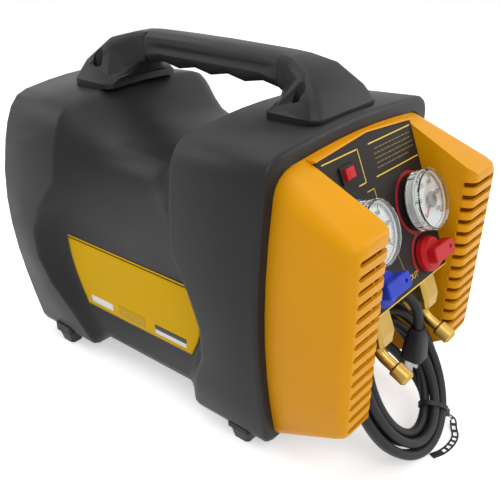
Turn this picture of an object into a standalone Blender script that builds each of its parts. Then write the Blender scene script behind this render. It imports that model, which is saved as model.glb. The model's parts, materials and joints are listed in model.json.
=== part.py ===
"""Refrigerant recovery machine: a saddle-shaped moulded case with two louvred bumpers, a sloping
control panel, a carrying handle, and the motor, compressor, fan and condenser inside it.

Units are metres. X is the width, the control panel faces -Y, and Z is up from the floor.
The origin is on the floor, under the middle of the machine. Run it in Blender 4.5:
blender --background --python part.py
"""

import math

import bmesh
import bpy
from mathutils import Euler, Matrix, Vector

# Driving sizes of the machine
REAR_Y = 0.2285
NOSE_Y = -0.2285
FOOT_HEIGHT = 0.0165
WALL = 0.0035
SEAT_GAP = 0.0003

# The case: half sections at the front rim, at the rear and at the waist, as
# (half width of the floor, half width at the corner, height of the floor, height of the corner,
#  half width and height of the shoulder's foot, half width and height of its end, height of the crown)
FRONT_SECTION = (0.098, 0.110, FOOT_HEIGHT, 0.027, 0.1315, 0.296, 0.109, 0.3165, 0.322)
REAR_SECTION = (0.094, 0.105, FOOT_HEIGHT, 0.027, 0.114, 0.254, 0.078, 0.302, 0.309)
WAIST_SECTION = (0.088, 0.098, 0.032, 0.044, 0.101, 0.236, 0.076, 0.268, 0.274)
FRONT_LEAN = (0.26, 0.12)
REAR_LEAN = (0.20, 0.30)
WAIST_LEAN = (0.03, 0.03)
RIM_FOOT_Y = -0.1364
RIM_SLOPE = 0.0375
RIM_LIP = 0.0125
RIM_ROUND = 0.004
REAR_LIP = 0.010
FRONT_COLLAR_EDGE = -0.042
FRONT_POCKET = (0.030, 0.133, 0.078)
REAR_COLLAR_EDGE = 0.130
REAR_POCKET = (0.054, 0.138, 0.092)
SIDE_SWEEP = 0.020
TOP_SWEEP = 0.058
BOTTOM_STEPS = 1
CORNER_STEPS = 2
SIDE_STEPS = 7
SHOULDER_STEPS = 4
CROWN_STEPS = 3

# The bumpers of the bezel
NOSE_INNER = 0.0755
RIM_INNER = 0.078
NOSE_SECTION = (0.1140, 0.1220, 0.0810, 0.0880, 0.1275, 0.2580, 0.1150, 0.2700, 0.2705)
NOSE_LEAN = (0.03, 0.0)
NOSE_ROUND = 0.0095
RIM_FLOOR_LIP = 0.005
BEZEL_WALL = 0.003
BEZEL_DEPTH = 0.006
SLOT_COUNT = 14
SLOT_PITCH = 0.01235
SLOT_HEIGHT = 0.0055
SLOT_TOP = 0.2535
SLOT_END = 0.1190
SLOT_END_DRIFT = 0.005
SLOT_WRAP = 0.011

# The control panel, whose own frame has its origin on the top edge
PANEL_HALF = 0.078
PANEL_TOP_Y = -0.1559
PANEL_TOP_Z = 0.3022
PANEL_TILT = math.radians(23.7)
PANEL_LENGTH = 0.1434
PANEL_GABLE = 0.006
PANEL_THICK = 0.0025
LEDGE = 0.006

GAUGE_X = 0.046
GAUGE_DOWN = 0.071
GAUGE_RADIUS = 0.0283
GAUGE_FRONT = 0.0225
GAUGE_BACK = 0.009
GAUGE_STEM_RADIUS = 0.0065
GAUGE_BASE_DEPTH = 0.005
DIAL_THICK = 0.001
GAUGE_WALL = 0.0018
NEEDLE_REACH = 0.019
NEEDLE_TAIL = 0.006
NEEDLE_HUB = 0.0042
NEEDLE_HUB_HEIGHT = 0.003
NEEDLE_REST = math.radians(225)

KNOB_X = 0.043
KNOB_DOWN = 0.121
KNOB_RADIUS = 0.0172
KNOB_BASE = 0.010
KNOB_BAR_REACH = 0.024
KNOB_BAR_TAIL = 0.0135
KNOB_BAR_WIDTH = 0.015
KNOB_FRONT = 0.019
KNOB_CLEARANCE = 0.0008
STEM_RADIUS = 0.004
DIMPLE_RADIUS = 0.0021

SWITCH_X = -0.040
SWITCH_DOWN = 0.019
SWITCH_WIDTH = 0.024
SWITCH_HEIGHT = 0.015
SWITCH_BODY = (0.021, 0.012)
SWITCH_ROUND = 0.0015
SWITCH_FLANGE = 0.0022
SWITCH_DEPTH = 0.014
SWITCH_WALL = 0.0009
ROCKER_LEVELS = (-0.0025, 0.0020, 0.0052)
ROCKER_TILT = math.radians(9)
ROCKER_AXIS = -0.002

BLOCK_WIDTH = 0.026
BLOCK_TOP_DOWN = 0.058
BLOCK_END_DOWN = 0.174
BLOCK_DEPTH = 0.031
BLOCK_FOOT_WIDTH = 0.020
BLOCK_FOOT = 0.010
BORE_DEPTH = 0.010
BLOCK_ROUND = 0.003
ELBOW_DROP = 0.009
ELBOW_REACH = 0.017
CAP_DIP = math.radians(26.5)
FITTING_RADIUS = 0.0055
CAP_RADIUS = 0.0078
CAP_LENGTH = 0.0175

# The recess below the panel and the grille at the rear
RECESS_TOP = 0.165
GRILLE_RADIUS = 0.076
GRILLE_PITCH = 0.0145
GRILLE_SLOT = 0.0080
GRILLE_SPINE = 0.004

# The handle
GRIP_FRONT_Y = -0.071
GRIP_REAR_Y = 0.099
GRIP_RISE = 0.0435
GRIP_TOP = FRONT_SECTION[-1] + GRIP_RISE
GRIP_HEIGHT = 0.031
GRIP_WIDTH = 0.034
FINGER_COUNT = 4
FINGER_DEPTH = 0.004
GRIP_CROWN = 0.001
GRIP_GROOVE = 0.0022
MOUNT_HALF_WIDTH = 0.051
MOUNT_FLANGE = 0.004
FRONT_MOUNT_Y = (-0.137, -0.079)
REAR_MOUNT_Y = (0.118, 0.180)
SCREW_HEAD_RADIUS = 0.0052
SCREW_SHANK_RADIUS = 0.0024
SCREW_HEAD = 0.003
SCREW_X = 0.036
SCREW_SEAT = 0.004
SCREW_LENGTH = 0.014

# Feet
FOOT_X = 0.094
FOOT_LENGTH = 0.026
FOOT_TAPER = 0.003
FOOT_FLANGE = 0.002
FOOT_WIDTH = 0.022
FRONT_FOOT_Y = -0.0975
REAR_FOOT_Y = 0.185

# Inside
PLATE_THICK = 0.0025
SHAFT_Z = 0.135
MOTOR_RADIUS = 0.056
MOTOR_FRONT_Y = 0.030
MOTOR_REAR_Y = 0.145
SHAFT_RADIUS = 0.006
FAN_RADIUS = 0.080
FAN_Y = 0.178
FAN_DEPTH = 0.022
FAN_BLADES = 7
FAN_FLATTEN = 0.8
FAN_ROOT = (0.017, 0.0034, math.radians(46))
FAN_TIP = (0.032, 0.0026, math.radians(26))
FAN_STATIONS = 4
CRANKCASE_FRONT_Y = -0.050
CRANKCASE_HALF = 0.040
HEAD_REACH = 0.082
HEAD_RADIUS = 0.030
HEAD_FINS = 4
FIN_DEPTH = 0.007
CONDENSER_Y = (-0.118, -0.092)
CONDENSER_HALF = 0.074
CONDENSER_TOP = 0.160
CONDENSER_FINS = 14
HEADER_RADIUS = 0.006
LINE_RADIUS = 0.0032
LINE_HEIGHT = 0.205
LINE_LEAD = 0.012
BASE_Y = (-0.124, 0.150)
BASE_CLEARANCE = 0.0045
BASE_HALF = WAIST_SECTION[0] - WALL - BASE_CLEARANCE
BASE_LIP = 0.008
CAPACITOR_RADIUS = 0.015
CAPACITOR_LENGTH = 0.085
CAPACITOR_GAP = 0.0035
CRADLE_HALF = 0.042

# The cord
CORD_RADIUS = 0.0048
COIL_CENTRE = (0.0015, -0.2121, 0.0768)
COIL_SIDE = 0.0605
COIL_UP = 0.0735
COIL_RADIAL = 0.0125
COIL_AXIAL = 0.0105
COIL_LEAN = math.radians(31)
COIL_STEPS = 32
RELIEF_Z = 0.112
RELIEF_RADIUS = 0.0062
RELIEF_LENGTH = 0.016
RELIEF_FLANGE = 0.0092
RELIEF_FLANGE_THICK = 0.002
TIE_STEP = 27.5
TIE_WIDTH = 0.0048
TIE_THICK = 0.0014
CORD_TURN = math.radians(240)
CORD_ROUTE = (
    (0.0, -0.168, 0.108),
    (-0.001, -0.184, 0.088),
    (-0.004, -0.195, 0.062),
    (-0.012, -0.205, 0.034),
    (-0.023, -0.213, 0.014),
)
LEAD_TURN = math.radians(105)
LEAD_ROUTE = (
    (-0.002, -0.201, 0.1515),
    (0.011, -0.2095, 0.1505),
    (0.020, -0.2145, 0.1435),
)
CORD_LEAD = 0.006
PLUG_PLACE = (0.024, -0.2165, 0.122)
PLUG_HALF = 0.0115
PLUG_NECK = 0.012
PLUG_LENGTH = 0.034
PIN_SPREAD = 0.0063
PIN_THICK = 0.0016
PIN_WIDTH = 0.0063
PIN_LENGTH = 0.016

MATERIALS = {
    "case_black": ((0.030, 0.031, 0.033), 0.42, 0.0),
    "bezel_orange": ((0.90, 0.40, 0.02), 0.35, 0.0),
    "panel_black": ((0.035, 0.034, 0.033), 0.45, 0.0),
    "rubber_black": ((0.015, 0.015, 0.015), 0.75, 0.0),
    "clear_plastic": ((0.86, 0.88, 0.90), 0.10, 0.0),
    "dial_white": ((0.85, 0.85, 0.83), 0.50, 0.0),
    "knob_red": ((0.55, 0.01, 0.02), 0.35, 0.0),
    "knob_blue": ((0.02, 0.06, 0.55), 0.35, 0.0),
    "brass": ((0.72, 0.52, 0.22), 0.30, 1.0),
    "steel": ((0.55, 0.56, 0.58), 0.35, 1.0),
    "aluminium": ((0.75, 0.76, 0.78), 0.45, 1.0),
    "copper": ((0.72, 0.33, 0.18), 0.30, 1.0),
    "motor_grey": ((0.10, 0.11, 0.12), 0.50, 0.3),
}


def clear_scene():
    for obj in list(bpy.data.objects):
        bpy.data.objects.remove(obj)


def material(name):
    found = bpy.data.materials.get(name)
    if found:
        return found
    colour, roughness, metallic = MATERIALS[name]
    made = bpy.data.materials.new(name)
    made.use_nodes = True
    shader = made.node_tree.nodes["Principled BSDF"]
    shader.inputs["Base Color"].default_value = (*colour, 1.0)
    shader.inputs["Roughness"].default_value = roughness
    shader.inputs["Metallic"].default_value = metallic
    return made


def lerp(a, b, t):
    return a + (b - a) * t


def mix(a, b, t):
    """Each value of a moved towards the same value of b."""
    return tuple(lerp(p, q, t) for p, q in zip(a, b))


def smooth(t):
    t = min(max(t, 0.0), 1.0)
    return t * t * (3 - 2 * t)


def add_object(name, points, faces, finish):
    """A mesh object with its faces turned outwards."""
    mesh = bpy.data.meshes.new(name)
    mesh.from_pydata([tuple(p) for p in points], [], faces)
    edit = bmesh.new()
    edit.from_mesh(mesh)
    bmesh.ops.recalc_face_normals(edit, faces=edit.faces)
    edit.to_mesh(mesh)
    edit.free()
    mesh.shade_smooth()
    mesh.set_sharp_from_angle(angle=math.radians(35))
    mesh.materials.append(material(finish))
    obj = bpy.data.objects.new(name, mesh)
    bpy.context.collection.objects.link(obj)
    return obj


def loft(name, loops, finish, capped=True, closed=False):
    """Joins loops that have the same number of points into one skin."""
    count = len(loops[0])
    points = [p for loop in loops for p in loop]
    faces = []
    rows = len(loops)
    for row in range(rows if closed else rows - 1):
        first = row * count
        second = (row + 1) % rows * count
        for i in range(count):
            j = (i + 1) % count
            faces.append((first + i, first + j, second + j, second + i))
    if capped and not closed:
        faces.append(tuple(range(count))[::-1])
        faces.append(tuple(range((rows - 1) * count, rows * count)))
    return add_object(name, points, faces, finish)


def prism(name, outline, low, high, finish):
    """An outline in local X and Y, extruded from low to high along Z."""
    return loft(name, [[(x, y, z) for x, y in outline] for z in (low, high)], finish)


def block(name, low, high, finish):
    outline = [(low[0], low[1]), (high[0], low[1]), (high[0], high[1]), (low[0], high[1])]
    return prism(name, outline, low[2], high[2], finish)


def circle(radius, count, centre=(0.0, 0.0), start=0.0):
    return [
        (
            centre[0] + radius * math.cos(start + math.tau * i / count),
            centre[1] + radius * math.sin(start + math.tau * i / count),
        )
        for i in range(count)
    ]


def rounded_box(width, height, radius, steps=3):
    """The outline of a rectangle about the origin with round corners."""
    points = []
    for corner in range(4):
        sx = (1, -1, -1, 1)[corner]
        sy = (1, 1, -1, -1)[corner]
        centre = (sx * (width / 2 - radius), sy * (height / 2 - radius))
        for i in range(steps + 1):
            angle = math.pi / 2 * (corner + i / steps)
            points.append((centre[0] + radius * math.cos(angle), centre[1] + radius * math.sin(angle)))
    return points


def revolve(name, profile, finish, count=24, closed=False):
    """Turns (radius, height) pairs about local Z. A pair on the axis closes an end with a fan."""
    points = []
    rings = []
    for radius, height in profile:
        if radius == 0:
            rings.append([len(points)])
            points.append((0, 0, height))
            continue
        rings.append(list(range(len(points), len(points) + count)))
        points.extend((x, y, height) for x, y in circle(radius, count))
    faces = []
    for low, high in zip(rings, rings[1:] + rings[:1] if closed else rings[1:]):
        if len(low) == 1 and len(high) == 1:
            continue
        for i in range(count):
            j = (i + 1) % count
            if len(low) == 1:
                faces.append((low[0], high[i], high[j]))
            elif len(high) == 1:
                faces.append((low[j], low[i], high[0]))
            else:
                faces.append((low[i], low[j], high[j], high[i]))
    return add_object(name, points, faces, finish)


def joined(name, pieces):
    """One mesh of separate pieces, to cut with in one go."""
    edit = bmesh.new()
    for piece in pieces:
        edit.from_mesh(piece.data)
    first = pieces[0]
    edit.to_mesh(first.data)
    edit.free()
    for piece in pieces[1:]:
        bpy.data.objects.remove(piece)
    first.name = name
    return first


def boolean(obj, other, operation):
    """Applies one Boolean to the object's mesh and removes the other object."""
    modifier = obj.modifiers.new(operation.title(), "BOOLEAN")
    modifier.operation = operation
    modifier.object = other
    bpy.context.view_layer.update()
    graph = bpy.context.evaluated_depsgraph_get()
    result = bpy.data.meshes.new_from_object(obj.evaluated_get(graph))
    obj.modifiers.clear()
    obj.data = result
    obj.data.name = obj.name
    bpy.data.objects.remove(other)
    return obj


def cut(obj, *cutters):
    for cutter in cutters:
        boolean(obj, cutter, "DIFFERENCE")
    return obj


def fuse(obj, *others):
    for other in others:
        boolean(obj, other, "UNION")
    return obj


ALONG_X = (0, math.pi / 2, 0)
ALONG_Y = (-math.pi / 2, 0, 0)
TOWARDS_FRONT = (math.pi / 2, 0, 0)


def place(obj, location=(0, 0, 0), rotation=(0, 0, 0), parent=None):
    obj.parent = parent
    obj.location = location
    obj.rotation_euler = rotation
    return obj


def empty(name, location=(0, 0, 0), rotation=(0, 0, 0), parent=None):
    made = bpy.data.objects.new(name, None)
    bpy.context.collection.objects.link(made)
    return place(made, location, rotation, parent)


def tube(name, route, radius, finish, sides=2):
    """A round tube along a smooth curve through the route's points."""
    curve = bpy.data.curves.new(name, "CURVE")
    curve.dimensions = "3D"
    curve.bevel_depth = radius
    curve.bevel_resolution = sides
    curve.use_fill_caps = True
    spline = curve.splines.new("POLY")
    points = smooth_route(route, radius * 4)
    spline.points.add(len(points) - 1)
    for target, point in zip(spline.points, points):
        target.co = (*point, 1.0)
    obj = bpy.data.objects.new(name, curve)
    curve.materials.append(material(finish))
    bpy.context.collection.objects.link(obj)
    return obj


def smooth_route(route, spacing):
    """Points along a Catmull-Rom curve through the route, about one spacing apart."""
    ends = [Vector(p) for p in route]
    before = ends[0] * 2 - ends[1]
    after = ends[-1] * 2 - ends[-2]
    chain = [before, *ends, after]
    points = []
    for a, b, c, d in zip(chain, chain[1:], chain[2:], chain[3:]):
        steps = max(1, round((c - b).length / spacing))
        for i in range(steps):
            t = i / steps
            points.append(
                0.5 * (2 * b + (c - a) * t + (2 * a - 5 * b + 4 * c - d) * t**2 + (3 * b - a - 3 * c + d) * t**3)
            )
    points.append(ends[-1])
    return points


# The case
def bezier(p0, p1, p2, p3, steps):
    """Points of a cubic curve, without its last point."""
    points = []
    for i in range(steps):
        t = i / steps
        u = 1 - t
        weights = (u**3, 3 * u * u * t, 3 * u * t * t, t**3)
        points.append(
            tuple(sum(w * p[axis] for w, p in zip(weights, (p0, p1, p2, p3))) for axis in range(2))
        )
    return points


def half_section(sizes, lean, inset=0.0, floor_inset=None):
    """The right half of a section of the case, from the middle of its floor up to its crown."""
    floor, corner, low, knee, foot, foot_z, end, end_z, crown = sizes
    floor_inset = inset if floor_inset is None else floor_inset
    floor_z = low + floor_inset
    corner -= inset
    foot -= inset
    end_z -= inset
    crown -= inset
    soft = 0.55
    side = (foot_z - knee) / 3
    floor_end = (floor - inset, floor_z)
    side_start = (corner, knee + floor_inset)
    side_end = (foot, foot_z - inset)
    shoulder_end = (end - inset, end_z)
    points = [(lerp(0, floor_end[0], i / BOTTOM_STEPS), floor_z) for i in range(BOTTOM_STEPS)]
    points += bezier(
        floor_end,
        (lerp(floor_end[0], corner, soft), floor_z),
        (corner - lean[0] * (knee - low) * soft, side_start[1] - (knee - low) * soft),
        side_start,
        CORNER_STEPS,
    )
    points += bezier(
        side_start,
        (corner + lean[0] * side, side_start[1] + side),
        (foot + lean[1] * side, side_end[1] - side),
        side_end,
        SIDE_STEPS,
    )
    rise = (end_z - side_end[1]) * soft
    run = (foot - shoulder_end[0]) * soft
    points += bezier(
        side_end,
        (foot - lean[1] * rise, side_end[1] + rise),
        (shoulder_end[0] + run, end_z - (crown - end_z) * soft / 2),
        shoulder_end,
        SHOULDER_STEPS,
    )
    points += bezier(
        shoulder_end,
        (shoulder_end[0] * 0.6, lerp(end_z, crown, 0.7)),
        (shoulder_end[0] * 0.3, crown),
        (0, crown),
        CROWN_STEPS,
    )
    points.append((0.0, crown))
    return points


def full_loop(half):
    """Both halves of a section, as one closed loop of (x, z)."""
    return half + [(-x, z) for x, z in half[-2:0:-1]]


def rim_y(z):
    return RIM_FOOT_Y - RIM_SLOPE * (z - FOOT_HEIGHT)


def taper(y):
    """0 at the front rim and 1 at the rear."""
    return (y - RIM_FOOT_Y) / (REAR_Y - RIM_FOOT_Y)


def collar_half(y, inset=0.0, floor_inset=None):
    t = taper(y)
    sizes = mix(FRONT_SECTION, REAR_SECTION, t)
    return half_section(sizes, mix(FRONT_LEAN, REAR_LEAN, t), inset, floor_inset)


def waist_half():
    return half_section(WAIST_SECTION, WAIST_LEAN)


def pocket(z, sizes):
    """How far the waist reaches into a collar at this height."""
    reach, middle, half = sizes
    across = abs(z - middle) / half
    if across >= 1:
        return 0.0
    return reach * math.cos(math.pi / 2 * across) ** 0.8


def sweep_length(z):
    """The length of the slope from a collar down to the waist: short at the sides, long on top."""
    return lerp(SIDE_SWEEP, TOP_SWEEP, smooth((z - 0.235) / 0.06))


def case_columns(index):
    """The outer skin along one line of the section, from the front rim to the rear."""
    waist = Vector((waist_half()[index][0], 0, waist_half()[index][1]))

    def on_collar(y, inset=0.0, floor_inset=None):
        return collar_half(y, inset, floor_inset)[index]

    x, z = on_collar(RIM_FOOT_Y)
    front = rim_y(z)
    front_edge = FRONT_COLLAR_EDGE - pocket(z, FRONT_POCKET)
    rear_edge = REAR_COLLAR_EDGE + pocket(on_collar(REAR_COLLAR_EDGE)[1], REAR_POCKET)
    sweep = sweep_length(z)
    column = []
    lip = on_collar(front, RIM_LIP, RIM_FLOOR_LIP)
    column.append((lip[0], front, lip[1]))
    for back, inset in ((0.0, RIM_ROUND), (RIM_ROUND * 0.3, RIM_ROUND * 0.3), (RIM_ROUND, 0.0)):
        x, z = on_collar(front + back, inset)
        column.append((x, front + back, z))
    for y in (lerp(front, front_edge, 0.55), front_edge - 0.004):
        x, z = on_collar(y)
        column.append((x, y, z))
    for edge, way in ((front_edge, 1), (rear_edge, -1)):
        slope = []
        for part, drop in ((0.0, 0.03), (0.10, 0.16), (0.35, 0.52), (0.65, 0.84), (1.0, 1.0)):
            y = edge + way * part * sweep
            x, z = on_collar(y)
            slope.append((lerp(x, waist.x, drop), y, lerp(z, waist.z, drop)))
        column += slope if way == 1 else slope[::-1]
    for y in (rear_edge + 0.004, lerp(rear_edge, REAR_Y, 0.5), REAR_Y - RIM_ROUND):
        x, z = on_collar(y)
        column.append((x, y, z))
    for back, inset in ((RIM_ROUND * 0.3, RIM_ROUND * 0.3), (0.0, RIM_ROUND), (0.0, REAR_LIP)):
        x, z = on_collar(REAR_Y - back, inset)
        column.append((x, REAR_Y - back, z))
    return column


def build_case():
    half = [case_columns(i) for i in range(len(waist_half()))]
    columns = half + [[(-x, y, z) for x, y, z in column] for column in half[-2:0:-1]]
    loops = [list(loop) for loop in zip(*columns)]
    shell = loft("case_shell", loops, "case_black", capped=False)
    solid = shell.modifiers.new("Wall", "SOLIDIFY")
    solid.thickness = WALL
    solid.offset = -1.0
    solid.use_even_offset = True
    return shell


# The orange bezel
def rim_outline(inset=0.0):
    """The right half of the loop that sits inside the rim's lip."""
    lip = RIM_LIP + SEAT_GAP + inset
    return collar_half(RIM_FOOT_Y, lip, RIM_FLOOR_LIP + SEAT_GAP + inset)


def nose_outline(inset=0.0):
    return half_section(NOSE_SECTION, NOSE_LEAN, inset)


def bumper_pairs(side, inset=0.0):
    """Matching points of the bumper's rim loop and of its nose loop, as (x, z) pairs."""
    last = BOTTOM_STEPS + CORNER_STEPS + SIDE_STEPS + SHOULDER_STEPS
    rim = rim_outline(inset)[BOTTOM_STEPS : last + 1]
    nose = nose_outline(inset)[BOTTOM_STEPS : last + 1]
    inner = RIM_INNER + inset
    rim = [(max(x, inner + BEZEL_WALL / 4), z) for x, z in rim]
    rim = [(inner, rim[0][1]), *rim, (inner, rim[-1][1])]
    inner = NOSE_INNER + inset
    nose = [(inner, nose[0][1]), *nose, (inner, nose[-1][1])]
    return [((side * a[0], a[1]), (side * b[0], b[1])) for a, b in zip(rim, nose)]


def bumper_solid(name, side, inset, back):
    """A bumper from behind the rim to its rounded nose. The same form, inset, hollows it out."""
    pairs = bumper_pairs(side, inset)
    nose_y = NOSE_Y + inset
    loops = [[(a[0], rim_y(a[1]) + back, a[1]) for a, b in pairs]]
    loops.append([(a[0], rim_y(a[1]), a[1]) for a, b in pairs])
    loops.append([(b[0], nose_y + NOSE_ROUND, b[1]) for a, b in pairs])
    xs = [b[0] for a, b in pairs]
    zs = [b[1] for a, b in pairs]
    half = Vector(((max(xs) - min(xs)) / 2, (max(zs) - min(zs)) / 2))
    middle = Vector(((max(xs) + min(xs)) / 2, (max(zs) + min(zs)) / 2))
    for depth, shrink in ((0.7, 0.3), (0.93, 0.62), (1.0, 1.0)):
        scale = Vector((1 - shrink * NOSE_ROUND / half.x, 1 - shrink * NOSE_ROUND / half.y))
        y = nose_y + NOSE_ROUND * (1 - depth)
        loops.append(
            [
                (middle.x + (b[0] - middle.x) * scale.x, y, middle.y + (b[1] - middle.y) * scale.y)
                for a, b in pairs
            ]
        )
    return loft(name, loops, "bezel_orange")


def wall_x(y):
    """The face of a bumper's inner wall at this depth."""
    root = rim_y(PANEL_TOP_Z)
    return lerp(RIM_INNER, NOSE_INNER, (y - root) / (NOSE_Y + NOSE_ROUND - root))


def nose_slots(side):
    """The louvre openings: they run across the nose and wrap round its inner corner."""
    slots = []
    inner = NOSE_INNER - SLOT_WRAP
    half = SLOT_HEIGHT / 2
    for i in range(SLOT_COUNT):
        z = SLOT_TOP - i * SLOT_PITCH
        end = SLOT_END - SLOT_END_DRIFT * i / SLOT_COUNT
        outline = [(inner, z + half), (inner, z - half)]
        for angle in (-math.pi / 2, 0.0, math.pi / 2):
            outline.append((end + half * math.cos(angle), z + half * math.sin(angle)))
        span = (NOSE_Y - SLOT_HEIGHT, NOSE_Y + SLOT_WRAP)
        slots.append(loft("slot", [[(side * x, y, z) for x, z in outline] for y in span], "bezel_orange"))
    return joined("slots", slots)


def panel_point(x, up, out):
    """A point of the panel's own frame: across, up its slope and out of its face."""
    along = Vector((0, math.sin(PANEL_TILT), math.cos(PANEL_TILT)))
    normal = Vector((0, -math.cos(PANEL_TILT), math.sin(PANEL_TILT)))
    return Vector((x, PANEL_TOP_Y, PANEL_TOP_Z)) + along * up + normal * out


PANEL_TURN = (math.pi / 2 - PANEL_TILT, 0, 0)


def on_panel(obj, x, down, out=0.0):
    return place(obj, panel_point(x, -down, out), PANEL_TURN)


def gable(x):
    return PANEL_GABLE * (1 - abs(x) / PANEL_HALF)


def crown_z(half, x):
    """The height of a section's top at this distance from the middle."""
    for low, high in zip(half[-CROWN_STEPS - 1 :], half[-CROWN_STEPS:]):
        if low[0] >= abs(x) >= high[0]:
            return lerp(high[1], low[1], (abs(x) - high[0]) / (low[0] - high[0]))
    return half[-1][1]


def build_hood():
    """The strip of the bezel that joins the bumpers above the panel."""
    step = BEZEL_WALL / 2
    reach = RIM_INNER + step
    loops = []
    for x in (-reach, -reach / 2, 0, reach / 2, reach):
        top = crown_z(rim_outline(), x) - step
        up = gable(min(abs(x), PANEL_HALF)) + SEAT_GAP
        loops.append(
            [
                (x, rim_y(top) + step, top),
                tuple(panel_point(x, up + step, step)),
                tuple(panel_point(x, up, step)),
                tuple(panel_point(x, up, -LEDGE)),
                (x, rim_y(top) + step, PANEL_TOP_Z - BEZEL_WALL),
            ]
        )
    return loft("hood", loops, "bezel_orange")


def panel_block(name, x_low, x_high, down_low, down_high, out_low, out_high, finish):
    """A block in the panel's own frame."""
    made = block(name, (x_low, -down_high, out_low), (x_high, -down_low, out_high), finish)
    return on_panel(made, 0, 0)


def build_bezel():
    """A frame inside the rim, two hollow louvred bumpers, the hood and the ledges under the panel."""
    outline = full_loop(rim_outline())
    loops = [[(x, rim_y(z) + back, z) for x, z in outline] for back in (0.0, BEZEL_DEPTH)]
    bezel = loft("front_bezel", loops, "bezel_orange")
    for side in (1, -1):
        fuse(bezel, bumper_solid("bumper", side, 0.0, BEZEL_DEPTH - SEAT_GAP))
    fuse(bezel, build_hood())
    window_half = RIM_INNER - LEDGE
    window_low = rim_outline()[0][1] + LEDGE
    window_high = PANEL_TOP_Z - BEZEL_WALL - SEAT_GAP
    window = block(
        "window",
        (-window_half, rim_y(window_high) - BEZEL_DEPTH, window_low),
        (window_half, RIM_FOOT_Y + BEZEL_DEPTH * 2, window_high),
        "bezel_orange",
    )
    cut(bezel, window)
    ledge_out = -PANEL_THICK - SEAT_GAP
    for side in (1, -1):
        reach = sorted((side * window_half, side * (RIM_INNER + BEZEL_WALL / 2)))
        ledge = panel_block(
            "ledge", *reach, LEDGE, PANEL_LENGTH, ledge_out - BEZEL_WALL, ledge_out, "bezel_orange"
        )
        fuse(bezel, ledge)
    for side in (1, -1):
        cut(bezel, bumper_solid("hollow", side, BEZEL_WALL, BEZEL_DEPTH * 2))
        cut(bezel, nose_slots(side))
    return bezel


# The control panel and what it carries
def build_panel():
    top = wall_x(PANEL_TOP_Y) - SEAT_GAP
    low = wall_x(panel_point(0, -PANEL_LENGTH, 0).y) - SEAT_GAP
    outline = [(-low, -PANEL_LENGTH), (low, -PANEL_LENGTH), (top, 0), (0, PANEL_GABLE), (-top, 0)]
    panel = prism("control_panel", outline, -PANEL_THICK, 0, "panel_black")
    deep = PANEL_THICK * 2
    for side in (1, -1):
        for x, down, radius in (
            (GAUGE_X, GAUGE_DOWN, GAUGE_STEM_RADIUS),
            (KNOB_X, KNOB_DOWN, STEM_RADIUS),
        ):
            hole = circle(radius + SEAT_GAP, 16, (side * x, -down))
            cut(panel, prism("hole", hole, -deep, deep, "panel_black"))
    opening = rounded_box(SWITCH_BODY[0] + 2 * SEAT_GAP, SWITCH_BODY[1] + 2 * SEAT_GAP, SWITCH_ROUND / 2, 1)
    opening = [(x + SWITCH_X, y - SWITCH_DOWN) for x, y in opening]
    cut(panel, prism("hole", opening, -deep, deep, "panel_black"))
    return on_panel(panel, 0, 0)


def build_gauge(prefix, x, finish):
    base_radius = GAUGE_RADIUS - GAUGE_WALL - SEAT_GAP
    root = -PANEL_THICK - BORE_DEPTH
    floor = GAUGE_BACK + GAUGE_BASE_DEPTH
    body = revolve(
        f"{prefix}_gauge_body",
        (
            (0, root),
            (GAUGE_STEM_RADIUS, root),
            (GAUGE_STEM_RADIUS, GAUGE_BACK),
            (base_radius, GAUGE_BACK),
            (base_radius, floor),
            (0, floor),
        ),
        "panel_black",
    )
    dial_low = floor + SEAT_GAP
    dial_high = dial_low + DIAL_THICK
    dial_radius = base_radius - DIAL_THICK
    dial = revolve(
        f"{prefix}_gauge_dial",
        ((0, dial_low), (dial_radius, dial_low), (dial_radius, dial_high), (0, dial_high)),
        "dial_white",
    )
    bore = base_radius + SEAT_GAP
    ceiling = GAUGE_FRONT - GAUGE_WALL
    lens = revolve(
        f"{prefix}_gauge_lens",
        (
            (bore, GAUGE_BACK),
            (GAUGE_RADIUS, GAUGE_BACK),
            (GAUGE_RADIUS, GAUGE_FRONT - GAUGE_WALL),
            (GAUGE_RADIUS - GAUGE_WALL, GAUGE_FRONT),
            (0, GAUGE_FRONT),
            (0, ceiling),
            (bore, ceiling),
        ),
        "clear_plastic",
        24,
        closed=True,
    )
    hub_low = dial_high + SEAT_GAP
    hub_high = hub_low + NEEDLE_HUB_HEIGHT
    needle = revolve(
        f"{prefix}_gauge_needle",
        ((0, hub_low), (NEEDLE_HUB, hub_low), (NEEDLE_HUB, hub_high), (0, hub_high)),
        finish,
        12,
    )
    blade = NEEDLE_HUB / 4
    pointer = [(0, blade), (-NEEDLE_TAIL, blade), (-NEEDLE_TAIL, -blade), (0, -blade), (NEEDLE_REACH, 0)]
    middle = (hub_low + hub_high) / 2
    fuse(needle, prism("pointer", pointer, middle - blade / 2, middle + blade / 2, finish))
    for piece in (body, dial, lens, needle):
        on_panel(piece, x, GAUGE_DOWN)
    needle.rotation_euler = turned(PANEL_TURN, NEEDLE_REST)


def turned(rotation, angle, axis="Z"):
    """A rotation, turned further about its own axis."""
    euler = Euler(rotation)
    euler.rotate_axis(axis, angle)
    return euler


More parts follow.
